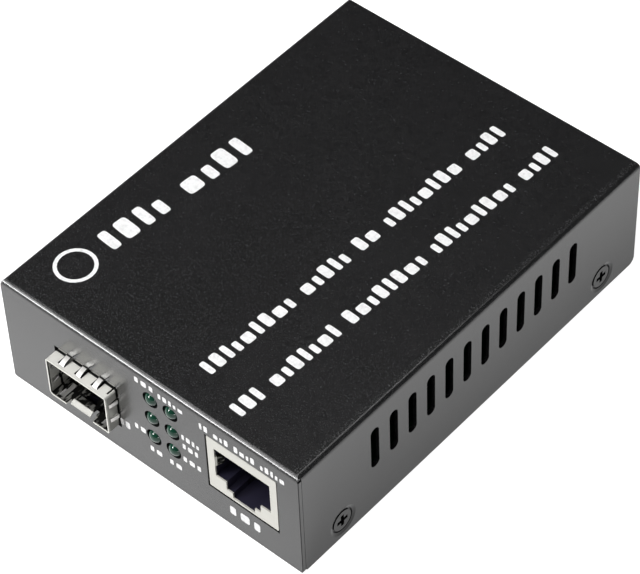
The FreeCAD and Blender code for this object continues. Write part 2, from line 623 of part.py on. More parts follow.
def make_base_plate():
    """Floor, side flanges and rear panel, folded from one sheet."""
    base = new_body("base_plate")
    half = BASE_HALF
    inner = f"({half} - sheet_wall)"
    flange_end = f"({REAR} - {BEND} - relief_gap)"
    pad(base, "floor_and_flanges", "XZ", f"{PANEL_BACK} + fit_gap", flange_end, [
        (f"{BEND} - {half}", "0"), (f"{half} - {BEND}", "0", BEND), (half, BEND),
        (half, "flange_rise"), (inner, "flange_rise"), (inner, BEND, "-bend_inner"),
        (f"{inner} - bend_inner", "sheet_wall"), (f"bend_inner - {inner}", "sheet_wall", "-bend_inner"),
        (f"-{inner}", BEND), (f"-{inner}", "flange_rise"), (f"-{half}", "flange_rise"),
        (f"-{half}", BEND, BEND),
    ])
    fold_half = f"({half} - {BEND})"
    pad(base, "rear_fold", "YZ", f"-{fold_half}", fold_half, [
        (f"{flange_end} - sheet_wall", "0"), (f"{REAR} - {BEND}", "0", BEND), (REAR, BEND),
        (REAR, f"{BEND} + sheet_wall"), (REAR_PANEL, f"{BEND} + sheet_wall"),
        (REAR_PANEL, BEND, "-bend_inner"), (f"{REAR} - {BEND}", "sheet_wall"),
        (f"{flange_end} - sheet_wall", "sheet_wall"),
    ])
    pad(base, "rear_panel", "XZ", REAR_PANEL, REAR,
        rectangle(f"-{half}", half, BEND, "case_height - sheet_wall - fit_gap"))
    pocket(base, "inlet_opening", "XZ", f"{REAR_PANEL} - past", f"{REAR} + past",
           rectangle(f"{INLET_X} - inlet_width / 2 - inlet_gap", f"{INLET_X} + inlet_width / 2 + inlet_gap",
                     f"{BOARD_TOP} - inlet_gap", f"{BOARD_TOP} + inlet_height + inlet_gap"))
    pocket(base, "screw_holes", "YZ", f"-{half} - past", f"{half} + past",
           *[circle(reach, "screw_level", "screw_shank") for end, reach in SCREW_PLACES])
    flange_face = "(sheet_wall + fit_gap)"
    for side, way in (("left", -1), ("right", 1)):
        for end, reach in SCREW_PLACES:
            sink(base, f"{side}_{end}_flange_seat", way, reach, SCREW_CONE_END, flange_face,
                 "screw_shank", head_radius(flange_face))
    return base


def cross_recess(name, axis, centre, low, high):
    """Two crossed slots, between low and high along the screw's axis."""
    spans = []
    for number in range(2):
        wide = ("cross_span", "cross_slot") if number == 0 else ("cross_slot", "cross_span")
        places = [(f"{middle} - {size} / 2", f"{middle} + {size} / 2")
                  for middle, size in zip(centre, wide)]
        places.insert("xyz".index(axis), (low, high))
        spans.append(block(f"{name}_slot_{number + 1}", *places))
    return spans


def between_depths(way, deep, shallow):
    """The low and high places across the case of two depths below the surface of a side."""
    return [f"({way} * ({HALF} - ({depth})))" for depth in (deep, shallow)][::way]


def make_case_screws():
    """Four countersunk screws, two in each side."""
    screws = []
    for side, way in (("left", -1), ("right", 1)):
        for end, reach in SCREW_PLACES:
            name = f"{side}_{end}_screw"
            centre = (reach, "screw_level")
            rim = rod(f"{name}_rim", "x", "screw_head", centre,
                      *between_depths(way, SCREW_RIM_END, "screw_sunk"))
            low_radius, high_radius = ("screw_shank", "screw_head")[::way]
            cone = rod(f"{name}_cone", "x", low_radius, centre,
                       *between_depths(way, SCREW_CONE_END, SCREW_RIM_END), high_radius)
            shank = rod(f"{name}_shank", "x", "screw_shank", centre,
                        *between_depths(way, "screw_sunk + screw_length", SCREW_CONE_END))
            slots = cross_recess(name, "x", centre,
                                 *between_depths(way, "screw_sunk + cross_depth", "0"))
            screws.append(cut(name, fuse(f"{name}_blank", [rim, cone, shank]), slots))
    return group("case_screws", screws)


def make_board_standoffs():
    """Four six-sided pillars fixed to the base's floor, each bored for a board screw."""
    pillars = []
    for number, centre in enumerate(FIXINGS, start=1):
        pillar = doc.addObject("Part::Prism", f"pillar_{number}")
        pillar.Polygon = 6
        bind(pillar, "Circumradius", "standoff_radius")
        bind(pillar, "Height", "standoff_rise")
        place(pillar, *centre, FLOOR)
        bore = rod(f"pillar_bore_{number}", "z", "board_screw_shank", centre,
                   f"{BOARD_UNDER} - board_screw_grip", f"{BOARD_UNDER} + past")
        pillars.append(cut(f"standoff_{number}", pillar, [bore]))
    return group("board_standoffs", pillars)


def make_board_screws():
    """Four pan-head screws that hold the board down on its stand-offs."""
    screws = []
    for number, centre in enumerate(FIXINGS, start=1):
        head_top = f"{BOARD_TOP} + board_screw_rise"
        head = rod(f"board_screw_head_{number}", "z", "board_screw_head", centre, BOARD_TOP, head_top)
        shank = rod(f"board_screw_shank_{number}", "z", "board_screw_shank", centre,
                    f"{BOARD_UNDER} - board_screw_grip", BOARD_TOP)
        slots = cross_recess(f"board_screw_{number}", "z", centre, f"{head_top} - cross_depth",
                             f"{head_top} + past")
        screws.append(cut(f"board_screw_{number}", fuse(f"board_screw_blank_{number}", [head, shank]),
                          slots))
    return group("board_screws", screws)


# ------------------------------------------------------------------------- the SFP cage

def cage_pin_y(number):
    """The board pins run back from just behind the notch."""
    return f"({NOTCH_REAR} + cage_pin + {number} * cage_pin_spacing)"


def make_sfp_cage():
    """The folded cage: windows for the spring fingers, a notched floor and a sprung latch tongue."""
    cage = new_body("sfp_cage")
    inner = [f"{CAGE_LEFT} + cage_wall", f"{CAGE_RIGHT} - cage_wall",
             f"{CAGE_LOW} + cage_wall", f"{CAGE_HIGH} - cage_wall"]
    lap_inner = "(cage_lap - cage_wall)"
    fold_inner = "(cage_corner - cage_wall)"
    pad(cage, "tube", "XZ", CAGE_FRONT, CAGE_REAR,
        lopsided(CAGE_LEFT, CAGE_RIGHT, CAGE_LOW, CAGE_HIGH, "cage_corner", "cage_lap"))
    pocket(cage, "cavity", "XZ", f"{CAGE_FRONT} - past", f"{CAGE_REAR} - cage_wall",
           lopsided(*inner, fold_inner, lap_inner))

    pocket(cage, "connector_opening", "XY", f"{CAGE_LOW} - past", f"{CAGE_LOW} + 3 * cage_wall",
           rectangle(f"{CAGE_LEFT} + 2 * cage_wall", f"{CAGE_RIGHT} - 2 * cage_wall",
                     f"{CAGE_REAR} - cage_rear_gap", f"{CAGE_REAR} + past"))

    wide = "(notch_width / 2)"
    mouth = f"({wide} + notch_flare)"
    flare_end = f"{CAGE_FRONT} + notch_flare_length"
    pocket(cage, "floor_notch", "XY", f"{CAGE_LOW} - past", f"{CAGE_LOW} + 3 * cage_wall", [
        (f"{CAGE_X} - {mouth}", f"{CAGE_FRONT} - past"), (f"{CAGE_X} + {mouth}", f"{CAGE_FRONT} - past"),
        (f"{CAGE_X} + {mouth}", CAGE_FRONT), (f"{CAGE_X} + {wide}", flare_end),
        (f"{CAGE_X} + {wide}", NOTCH_REAR), (f"{CAGE_X} - {wide}", NOTCH_REAR),
        (f"{CAGE_X} - {wide}", flare_end), (f"{CAGE_X} - {mouth}", CAGE_FRONT),
    ])

    bend_y = f"{CAGE_FRONT} + tongue_bend"
    tip_y = f"{CAGE_FRONT} + tongue_tip"
    root_y = f"{NOTCH_REAR} + 2 * cage_wall"
    above = f"({CAGE_LOW} + cage_wall)"
    pad(cage, "tongue", "YZ", f"{CAGE_X} - tongue_width / 2", f"{CAGE_X} + tongue_width / 2", [
        (tip_y, f"{CAGE_LOW} + tongue_rise - tongue_drop"), (bend_y, f"{CAGE_LOW} + tongue_rise"),
        (NOTCH_REAR, CAGE_LOW), (root_y, CAGE_LOW), (root_y, above), (NOTCH_REAR, above),
        (bend_y, f"{above} + tongue_rise"), (tip_y, f"{above} + tongue_rise - tongue_drop"),
    ])
    latch_y = f"{CAGE_FRONT} + latch_start"
    pocket(cage, "latch_hole", "XY", f"{CAGE_LOW} - past", f"{CAGE_LOW} + cage_wall + tongue_rise + past",
           [(f"{CAGE_X} - latch_width / 2", latch_y), (f"{CAGE_X} + latch_width / 2", latch_y),
            (CAGE_X, f"{latch_y} + latch_length")])

    top_window = "(top_finger / 2 + finger_gap)"
    side_window = "(side_finger / 2 + finger_gap)"
    top_cut = (f"{CAGE_HIGH} - 2 * cage_wall", f"{CAGE_HIGH} + past")
    for number, middle in enumerate(TOP_FINGERS, start=1):
        pocket(cage, f"top_window_{number}", "XY", *top_cut,
               rectangle(f"{middle} - {top_window}", f"{middle} + {top_window}",
                         FINGER_FRONT, FINGER_REAR))
    pocket(cage, "lid_slit_cut", "XY", *top_cut,
           rectangle(f"{CAGE_RIGHT} - lid_slit_inset - lid_slit", f"{CAGE_RIGHT} - lid_slit_inset",
                     f"{FINGER_FRONT} + lid_slit", FINGER_REAR))
    for number, middle in enumerate(FLOOR_FINGERS, start=1):
        pocket(cage, f"floor_window_{number}", "XY", f"{CAGE_LOW} - past", f"{CAGE_LOW} + 2 * cage_wall",
               rectangle(f"{middle} - {side_window}", f"{middle} + {side_window}",
                         FINGER_FRONT, f"{BOARD_FRONT} - finger_gap"))
    for number, middle in enumerate(SIDE_FINGERS, start=1):
        pocket(cage, f"side_windows_{number}", "YZ", f"{CAGE_LEFT} - past", f"{CAGE_RIGHT} + past",
               rectangle(FINGER_FRONT, FINGER_REAR, f"{middle} - {side_window}",
                         f"{middle} + {side_window}"))
    pins = pad(cage, "pins", "XY", PIN_END, f"{CAGE_LOW} + cage_corner + cage_lap",
               *[rectangle(x, f"{x} + cage_wall", f"{cage_pin_y(0)} - cage_pin / 2",
                           f"{cage_pin_y(0)} + cage_pin / 2")
                 for x in (CAGE_LEFT, f"{CAGE_RIGHT} - cage_wall")])
    repeat(cage, pins, "Y", "cage_pin_count", "cage_pin_spacing")
    return cage


def lopsided(left, right, low, high, radius, lap):
    """A rounded rectangle whose lower left corner has a radius of its own."""
    corners = rounded(left, right, low, high, radius)
    corners[0] = (f"{left} + {lap}", low)
    corners[7] = (left, f"{low} + {lap}", lap)
    return corners


TOP_FINGERS = [f"({CAGE_X} + {step} * top_finger_spacing)" for step in (-1, 0, 1)]
FLOOR_FINGERS = [f"({CAGE_X} + {step} * floor_finger_spacing / 2)" for step in (-1, 1)]
SIDE_FINGERS = [f"({CAGE_MIDDLE} + {step} * side_finger_spacing / 2)" for step in (-1, 1)]


def bowed(name, axis, centre, rise, chord):
    """A thin ring whose arc rises above its chord, through which the fingers are cut."""
    radius = f"(({chord}) ^ 2 / (8 * {rise}) + {rise} / 2)"
    span = {"x": (CAGE_LEFT, CAGE_RIGHT), "z": (CAGE_LOW, CAGE_HIGH)}
    low, high = f"{span[axis][0]} - past", f"{span[axis][1]} + past"
    outer = rod(f"{name}_outer", axis, radius, centre(radius), low, high)
    hollow = rod(f"{name}_hollow", axis, f"{radius} - finger_sheet", centre(radius), low, high)
    return cut(f"{name}_ring", outer, [hollow])


def make_sfp_spring_fingers():
    """Bowed strips in the cage's windows, which press on the edge of the panel's opening."""
    run = (FINGER_FRONT, FINGER_REAR)
    short_run = (FINGER_FRONT, f"{BOARD_FRONT} - finger_gap")
    strips = []
    top_ring = bowed("top_bow", "x", lambda radius: (
        FINGER_MIDDLE, f"{CAGE_HIGH} + top_finger_rise - {radius}"), "top_finger_rise", "finger_length")
    top_slabs = [block(f"top_finger_{number}", (f"{x} - top_finger / 2", f"{x} + top_finger / 2"), run,
                       (f"{CAGE_HIGH} - cage_wall", f"{CAGE_HIGH} + 2 * top_finger_rise"))
                 for number, x in enumerate(TOP_FINGERS, start=1)]
    strips.append(common("top_fingers", [top_ring, fuse("top_slabs", top_slabs)]))
    short_chord = f"({short_run[1]} - {FINGER_FRONT})"
    floor_ring = bowed("floor_bow", "x", lambda radius: (
        f"{FINGER_FRONT} + {short_chord} / 2", f"{CAGE_LOW} - side_finger_rise + {radius}"),
        "side_finger_rise", short_chord)
    floor_slabs = [block(f"floor_finger_{number}", (f"{x} - side_finger / 2", f"{x} + side_finger / 2"),
                         short_run, (f"{CAGE_LOW} - 2 * side_finger_rise", f"{CAGE_LOW} + cage_wall"))
                   for number, x in enumerate(FLOOR_FINGERS, start=1)]
    strips.append(common("floor_fingers", [floor_ring, fuse("floor_slabs", floor_slabs)]))
    for side, way, wall in (("left", -1, CAGE_LEFT), ("right", 1, CAGE_RIGHT)):
        ring = bowed(f"{side}_bow", "z", lambda radius, way=way, wall=wall: (
            f"{wall} + {way} * (side_finger_rise - {radius})", FINGER_MIDDLE),
            "side_finger_rise", "finger_length")
        inside, outside = f"{wall} - {way} * cage_wall", f"{wall} + {way} * 2 * side_finger_rise"
        across = (inside, outside) if way > 0 else (outside, inside)
        slabs = [block(f"{side}_finger_{number}", across, run,
                       (f"{z} - side_finger / 2", f"{z} + side_finger / 2"))
                 for number, z in enumerate(SIDE_FINGERS, start=1)]
        strips.append(common(f"{side}_fingers", [ring, fuse(f"{side}_slabs", slabs)]))
    return group("sfp_spring_fingers", strips)


SOCKET_REAR = f"({CAGE_REAR} - cage_wall - socket_rear_gap)"
SOCKET_FACE = f"({SOCKET_REAR} - socket_length)"
SLOT_LOW = f"({BOARD_TOP} + socket_slot_level)"
SLOT_HIGH = f"({SLOT_LOW} + socket_slot)"


def make_sfp_connector():
    """The card-edge housing at the back of the cage."""
    housing = new_body("sfp_connector")
    pad(housing, "housing_block", "XY", BOARD_TOP, f"{BOARD_TOP} + socket_height",
        rectangle(f"{CAGE_X} - socket_width / 2", f"{CAGE_X} + socket_width / 2", SOCKET_FACE, SOCKET_REAR))
    pocket(housing, "card_slot", "XZ", f"{SOCKET_FACE} - past", f"{SOCKET_REAR} + past",
           rectangle(f"{CAGE_X} - socket_slot_width / 2", f"{CAGE_X} + socket_slot_width / 2",
                     SLOT_LOW, SLOT_HIGH))
    lead_in = "(socket_slot / 2)"
    pocket(housing, "lead_in", "YZ",
           f"{CAGE_X} - socket_slot_width / 2", f"{CAGE_X} + socket_slot_width / 2",
           [(SOCKET_FACE, f"{SLOT_LOW} - {lead_in}"), (f"{SOCKET_FACE} + {lead_in}", SLOT_LOW),
            (f"{SOCKET_FACE} + {lead_in}", SLOT_HIGH), (SOCKET_FACE, f"{SLOT_HIGH} + {lead_in}")])
    return housing


def make_sfp_contacts():
    """Two rows of bent contacts that line the card slot and end in feet on the board."""
    contacts = new_body("sfp_contacts")
    front = f"{SOCKET_FACE} + socket_slot"
    back = f"{SOCKET_REAR} + contact_sheet"
    rows = (("lower", "0", SLOT_LOW, f"{SLOT_LOW} + contact_sheet"),
            ("upper", "contact_spacing / 2", f"{SLOT_HIGH} - contact_sheet", SLOT_HIGH))
    foot_high = f"{BOARD_TOP} + contact_sheet"
    for row, shift, low, high in rows:
        first = f"{CAGE_X} - contact_spacing * (contact_count - 0.5) / 2 + {shift} - contact_width / 2"
        contact = pad(contacts, f"{row}_contact", "YZ", first, f"{first} + contact_width", [
            (front, low), (SOCKET_REAR, low), (SOCKET_REAR, BOARD_TOP),
            (f"{SOCKET_REAR} + contact_foot", BOARD_TOP), (f"{SOCKET_REAR} + contact_foot", foot_high),
            (back, foot_high), (back, high), (front, high),
        ])
        repeat(contacts, contact, "X", "contact_count", "contact_spacing")
    return contacts


# ----------------------------------------------------------------------- the copper jack

def mouth_outline(grow="0"):
    """The stepped mouth with the latch notch below."""
    halves = [f"({size} / 2 + {grow})" for size in ("mouth_width", "step_width", "notch_span")]
    main, step, notch = halves
    notch_low, step_low, mouth_low = (f"{level} - {grow}" for level in (NOTCH_LOW, STEP_LOW, MOUTH_LOW))
    right = [(f"{JACK_X} + {half}", level) for half, level in (
        (notch, notch_low), (notch, step_low), (step, step_low), (step, mouth_low),
        (main, mouth_low), (main, f"{MOUTH_TOP} + {grow}"))]
    left = [(u.replace(f"{JACK_X} +", f"{JACK_X} -"), v) for u, v in reversed(right)]
    return right + left


JACK_LEFT = f"({JACK_X} - jack_width / 2)"
JACK_RIGHT = f"({JACK_X} + jack_width / 2)"


def make_jack_shield():
    """The folded tin shield: face plate, walls, board posts and the two springs in the mouth."""
    shield = new_body("jack_shield")
    pad(shield, "shield_block", "XZ", JACK_FRONT, JACK_REAR,
        rounded(JACK_LEFT, JACK_RIGHT, JACK_LOW, JACK_HIGH, "jack_corner"))
    pocket(shield, "shield_cavity", "XZ", f"{JACK_FRONT} + jack_wall", f"{JACK_REAR} - jack_wall",
           rectangle(f"{JACK_LEFT} + jack_wall", f"{JACK_RIGHT} - jack_wall",
                     f"{JACK_LOW} - past", f"{JACK_HIGH} - jack_wall"))
    pocket(shield, "shield_mouth", "XZ", f"{JACK_FRONT} - past", f"{JACK_FRONT} + 2 * jack_wall",
           mouth_outline())
    pad(shield, "posts", "XY", PIN_END, f"{JACK_LOW} + jack_corner",
        *[rectangle(x, f"{x} + jack_wall", f"{JACK_FRONT} + post_setback - post_width / 2",
                    f"{JACK_FRONT} + post_setback + post_width / 2")
          for x in (JACK_LEFT, f"{JACK_RIGHT} - jack_wall")])
    wing_high = f"({MOUTH_TOP} - wing_top)"
    wing_low = f"({wing_high} - wing_height)"
    for side, way in (("left", -1), ("right", 1)):
        edge = f"({JACK_X} + {way} * mouth_width / 2)"
        start = JACK_FRONT
        corners = [(edge, start), (f"{edge} - {way} * wing_lean", f"{start} + wing_length"),
                   (f"{edge} - {way} * (wing_lean - jack_wall)", f"{start} + wing_length"),
                   (f"{edge} + {way} * jack_wall", f"{start} + jack_wall"),
                   (f"{edge} + {way} * jack_wall", start)]
        pad(shield, f"{side}_wing", "XY", wing_low, wing_high, corners[::way])
    return shield


def make_jack_housing():
    """The moulded insulator inside the shield, with the stepped socket and two rails as feet."""
    housing = new_body("jack_housing")
    left, right = f"({JACK_LEFT} + jack_wall)", f"({JACK_RIGHT} - jack_wall)"
    front, rear = f"({JACK_FRONT} + jack_wall)", f"({JACK_REAR} - jack_wall)"
    pad(housing, "housing_block", "XZ", front, rear,
        rectangle(left, right, JACK_LOW, f"{JACK_HIGH} - jack_wall"))
    pad(housing, "rails", "XZ", BOARD_FRONT, rear,
        rectangle(left, f"{left} + rail_width", BOARD_TOP, JACK_LOW),
        rectangle(f"{right} - rail_width", right, BOARD_TOP, JACK_LOW))
    pocket(housing, "socket", "XZ", f"{front} - past", SOCKET_END, mouth_outline("pin_gap"))
    room = (f"{MOUTH_TOP} - wing_top - wing_height - pin_gap", f"{MOUTH_TOP} - wing_top + pin_gap")
    pocket(housing, "wing_room", "XZ", f"{front} - past", f"{JACK_FRONT} + wing_length + pin_gap",
           rectangle(f"{JACK_X} - mouth_width / 2 - 2 * jack_wall",
                     f"{JACK_X} + mouth_width / 2 + 2 * jack_wall", *room))
    return housing


def make_jack_contacts():
    """Eight sprung contacts that slope down from the socket's roof at the mouth to its back wall."""
    contacts = new_body("jack_contacts")
    first = f"{JACK_X} - wire_spacing * (wire_count - 1) / 2 - wire_width / 2"
    roof = f"({MOUTH_TOP} + pin_gap)"
    tip = f"({SOCKET_END} - wire_reach)"
    contact = pad(contacts, "contact", "YZ", first, f"{first} + wire_width", [
        (tip, f"{roof} - wire_sheet"), (f"{SOCKET_END} - wire_sheet - wire_flat",
                                        f"{roof} - wire_drop"),
        (SOCKET_END, f"{roof} - wire_drop"), (SOCKET_END, roof),
        (f"{SOCKET_END} - wire_sheet", roof), (f"{SOCKET_END} - wire_sheet",
                                               f"{roof} - wire_drop + wire_sheet"),
        (f"{SOCKET_END} - wire_sheet - wire_flat", f"{roof} - wire_drop + wire_sheet"),
        (tip, roof),
    ])
    repeat(contacts, contact, "X", "wire_count", "wire_spacing")
    return contacts


# -------------------------------------------------------------------- the status lamps

def make_lamp(number, x, z):
    """A 3 mm lamp lying on its side: dome, barrel and flange."""
    name = f"led_{number}"
    dome = ball(f"{name}_dome", "lamp_radius", x, f"{LAMP_TIP} + lamp_radius", z)
    barrel = rod(f"{name}_barrel", "y", "lamp_radius", (x, z), f"{LAMP_TIP} + lamp_radius", LAMP_SEAT)
    flange = rod(f"{name}_flange", "y", "lamp_flange", (x, z), LAMP_SEAT, LAMP_BACK)
    return fuse(name, [dome, barrel, flange])


def make_lamp_holder():
    """The moulded block that carries the six lamps at the panel."""
    holder = new_body("led_holder")
    (left, low), (right, high) = LAMP_CENTRES[0], LAMP_CENTRES[-1]
    rear = f"{HOLDER_FRONT} + holder_length"
    pad(holder, "holder_block", "XZ", HOLDER_FRONT, rear,
        rectangle(f"{left} - holder_margin", f"{right} + holder_margin",
                  BOARD_TOP, f"{high} + holder_margin"))
    pocket(holder, "barrel_bores", "XZ", f"{HOLDER_FRONT} - past", LAMP_SEAT,
           *[circle(x, z, "lamp_radius + lamp_gap") for x, z in LAMP_CENTRES])
    room = "(lamp_flange + lamp_gap)"
    pocket(holder, "flange_room", "XZ", LAMP_SEAT, f"{rear} + past",
           rectangle(f"{left} - {room}", f"{right} + {room}", f"{low} - {room}", f"{high} + {room}"))
    return holder


def lead_places():
    """Each lead's name, middle across the board, height and the distance of its bend."""
    for (column, row), (x, z) in zip(LAMP_GRID, LAMP_CENTRES):
        for pole, way in (("minus", -1), ("plus", 1)):
            yield (f"lead_{row}_{column}_{pole}", f"({x} + {way} * lead_spacing / 2)", z,
                   f"({LAMP_BACK} + lead_reach + {row} * lead_step)")


def make_lamp_leads():
    """Two bent leads for each lamp, which run back and then down through the board."""
    leads = []
    half = "lead_width / 2"
    for name, x, z, bend in lead_places():
        across = (f"{x} - {half}", f"{x} + {half}")
        run = block(f"{name}_run", across, (LAMP_BACK, f"{bend} + {half}"),
                    (f"{z} - {half}", f"{z} + {half}"))
        drop = block(f"{name}_drop", across, (f"{bend} - {half}", f"{bend} + {half}"),
                     (PIN_END, f"{z} + {half}"))
        leads.append(fuse(name, [run, drop]))
    return group("led_leads", leads)


# ------------------------------------------------------------------- the power inlet

def make_inlet_body():
    """The moulded barrel-jack body with its blind bore and the channel for its side contact."""
    inlet = new_body("dc_inlet_body")
    pad(inlet, "inlet_block", "XZ", INLET_FRONT, INLET_FACE,
        rectangle(f"{INLET_X} - inlet_width / 2", f"{INLET_X} + inlet_width / 2",
                  BOARD_TOP, f"{BOARD_TOP} + inlet_height"))
    pocket(inlet, "inlet_bore_cut", "XZ", BORE_END, f"{INLET_FACE} + past",
           circle(INLET_X, INLET_AXIS, "inlet_bore"))
    pocket(inlet, "pin_seat", "XZ", f"{INLET_FRONT} - past", BORE_END,
           circle(INLET_X, INLET_AXIS, "inlet_rivet"))
    pocket(inlet, "strip_channel", "XZ", f"{INLET_FACE} - strip_tail - lug_sheet", f"{INLET_FACE} + past",
           rectangle(f"{INLET_X} - strip_width / 2 - pin_gap", f"{INLET_X} + strip_width / 2 + pin_gap",
                     f"{BOARD_TOP} - past", INLET_AXIS))
    return inlet


def make_inlet_pin():
    """The centre pin, riveted through the moulding to the terminal lug at the back of the inlet."""
    centre = (INLET_X, INLET_AXIS)
    pin = rod("pin_shaft", "y", "inlet_pin", centre, BORE_END, f"{INLET_FACE} - inlet_pin_inset")
    rivet = rod("pin_rivet", "y", "inlet_rivet", centre, INLET_FRONT, BORE_END)
    tail = block("pin_lug", (f"{INLET_X} - lug_width / 2", f"{INLET_X} + lug_width / 2"),
                 (f"{INLET_FRONT} - lug_sheet", INLET_FRONT), (PIN_END, f"{INLET_AXIS} + lug_width / 2"))
    return fuse("dc_inlet_pin", [pin, rivet, tail])


def make_inlet_contact():
    """The side contact under the bore, with its lug through the board."""
    half = "strip_width / 2"
    top = f"({INLET_AXIS} - inlet_bore)"
    strip = block("contact_strip", (f"{INLET_X} - {half}", f"{INLET_X} + {half}"),
                  (f"{INLET_FACE} - strip_tail - lug_sheet", f"{INLET_FACE} - strip_sheet"),
                  (f"{top} - strip_sheet", top))
    tail = block("contact_lug", (f"{INLET_X} - lug_width / 2", f"{INLET_X} + lug_width / 2"),
                 (f"{INLET_FACE} - strip_tail - lug_sheet", f"{INLET_FACE} - strip_tail"), (PIN_END, top))
    return fuse("dc_inlet_contact", [strip, tail])


# ------------------------------------------------------------- the circuit board and parts

def slit(name, x, y):
    """A slot right through the board between two places across and along it, with pin clearance."""
    return block(name, (f"{x[0]} - pin_gap", f"{x[1]} + pin_gap"),
                 (f"{y[0]} - pin_gap", f"{y[1]} + pin_gap"),
                 (f"{BOARD_UNDER} - past", f"{BOARD_TOP} + past"))


def make_main_board():
    """The board, with a hole for each screw, pin, post, lug and lead that passes through it."""
    sheet_of_board = block("board_blank", (f"-{BOARD_HALF}", BOARD_HALF),
                           (BOARD_FRONT, BOARD_REAR), (BOARD_UNDER, BOARD_TOP))
    through = (f"{BOARD_UNDER} - past", f"{BOARD_TOP} + past")
    holes = [rod(f"fixing_hole_{number}", "z", "board_screw_shank + board_screw_gap", centre, *through)
             for number, centre in enumerate(FIXINGS, start=1)]
    for side, x in (("left", CAGE_LEFT), ("right", f"({CAGE_RIGHT} - cage_wall)")):
        for number in range(int(amount_of("cage_pin_count"))):
            middle = cage_pin_y(number)
            holes.append(slit(f"cage_hole_{side}_{number + 1}", (x, f"{x} + cage_wall"),
                              (f"{middle} - cage_pin / 2", f"{middle} + cage_pin / 2")))
    for side, x in (("left", JACK_LEFT), ("right", f"({JACK_RIGHT} - jack_wall)")):
        middle = f"({JACK_FRONT} + post_setback)"
        holes.append(slit(f"post_hole_{side}", (x, f"{x} + jack_wall"),
                          (f"{middle} - post_width / 2", f"{middle} + post_width / 2")))
    for name, x, z, bend in lead_places():
        holes.append(slit(f"{name}_hole", (f"{x} - lead_width / 2", f"{x} + lead_width / 2"),
                          (f"{bend} - lead_width / 2", f"{bend} + lead_width / 2")))
    lug = (f"{INLET_X} - lug_width / 2", f"{INLET_X} + lug_width / 2")
    holes.append(slit("pin_lug_hole", lug, (f"{INLET_FRONT} - lug_sheet", INLET_FRONT)))
    holes.append(slit("contact_lug_hole", lug, (f"{INLET_FACE} - strip_tail - lug_sheet",
                                                f"{INLET_FACE} - strip_tail")))
    for number, span in enumerate(can_lead_places(), start=1):
        holes.append(slit(f"can_hole_{number}", *span))
    return cut("main_board", sheet_of_board, holes)


def make_converter_chip():
    """The flat square package of the converter chip, with a round corner mark."""
    chip = new_body("converter_chip")
    half = "chip_side / 2"
    top = f"{BOARD_TOP} + chip_height"
    pad(chip, "package", "XY", BOARD_TOP, top,
        rectangle(f"chip_x - {half}", f"chip_x + {half}", f"chip_y - {half}", f"chip_y + {half}"))
    pocket(chip, "corner_mark", "XY", f"{top} - chip_dot_depth", f"{top} + past",
           circle(f"chip_x - {half} + chip_dot_inset", f"chip_y - {half} + chip_dot_inset", "chip_dot"))
    return chip


def make_poe_controller():
    half = "poe_side / 2"
    return block("poe_controller", (f"poe_x - {half}", f"poe_x + {half}"),
                 (f"poe_y - {half}", f"poe_y + {half}"), (BOARD_TOP, f"{BOARD_TOP} + poe_height"))


def make_line_transformer():
    half_x, half_y = "magnetics_width / 2", "magnetics_depth / 2"
    low = f"{BOARD_TOP} + magnetics_lift"
    return block("line_transformer", (f"{JACK_X} - {half_x}", f"{JACK_X} + {half_x}"),
                 (f"{MAGNETICS_Y} - {half_y}", f"{MAGNETICS_Y} + {half_y}"),
                 (low, f"{low} + magnetics_height"))


def make_line_transformer_leads():
    """Gull-wing leads along the front and the back of the line transformer."""
    leads = new_body("line_transformer_leads")
    first = f"{JACK_X} - magnetics_spacing * (magnetics_leads - 1) / 2 - magnetics_lead / 2"
    shoulder = f"({BOARD_TOP} + magnetics_lift + magnetics_shoulder)"
    for side, way in (("front", -1), ("back", 1)):
        wall = f"({MAGNETICS_Y} + {way} * magnetics_depth / 2)"
        knee = f"{wall} + {way} * 2 * lead_sheet"
        toe = f"{knee} + {way} * magnetics_foot"
        inner_knee = f"{wall} + {way} * lead_sheet"
        corners = [(wall, f"{shoulder} - lead_sheet"), (inner_knee, f"{shoulder} - lead_sheet"),
                   (inner_knee, BOARD_TOP), (toe, BOARD_TOP), (toe, f"{BOARD_TOP} + lead_sheet"),
                   (knee, f"{BOARD_TOP} + lead_sheet"), (knee, shoulder), (wall, shoulder)]
        lead = pad(leads, f"{side}_lead", "YZ", first, f"{first} + magnetics_lead", corners[::way])
        repeat(leads, lead, "X", "magnetics_leads", "magnetics_spacing")
    return leads


def make_power_inductor():
    """A shielded coil: a block with rounded corners and a shallow round dish in its top."""
    coil = new_body("power_inductor")
    half = "coil_side / 2"
    top = f"{BOARD_TOP} + coil_height"
    pad(coil, "core", "XY", BOARD_TOP, top,
        rounded(f"{COIL_X} - {half}", f"{COIL_X} + {half}", f"coil_y - {half}", f"coil_y + {half}",
                "coil_corner"))
    pocket(coil, "dish", "XY", f"{top} - coil_dish_depth", f"{top} + past",
           circle(COIL_X, "coil_y", "coil_dish"))
    return coil


def can_places():
    return [(f"(can_x - {number} * can_spacing)", CAN_Y)
            for number in range(int(amount_of("can_count")))]


def can_lead_places():
    """Each lead's low and high places across and along the board."""
    for x, y in can_places():
        for way in (-1, 1):
            middle = f"{y} + {way} * can_lead_spacing / 2"
            yield (f"{x} - can_lead / 2", f"{x} + can_lead / 2"), (f"{middle} - can_lead / 2",
                                                                  f"{middle} + can_lead / 2")


def make_bulk_capacitors():
    """Upright electrolytic cans, each with two leads through the board."""
    cans = []
    lead_spans = list(can_lead_places())
    for number, centre in enumerate(can_places()):
        can = rod(f"can_{number + 1}", "z", "can_radius", centre, BOARD_TOP, f"{BOARD_TOP} + can_height")
        leads = [block(f"can_lead_{number + 1}_{pole}", *span, (PIN_END, BOARD_TOP))
                 for pole, span in enumerate(lead_spans[2 * number:2 * number + 2])]
        cans.append(fuse(f"capacitor_{number + 1}", [can, *leads]))
    return group("bulk_capacitors", cans)


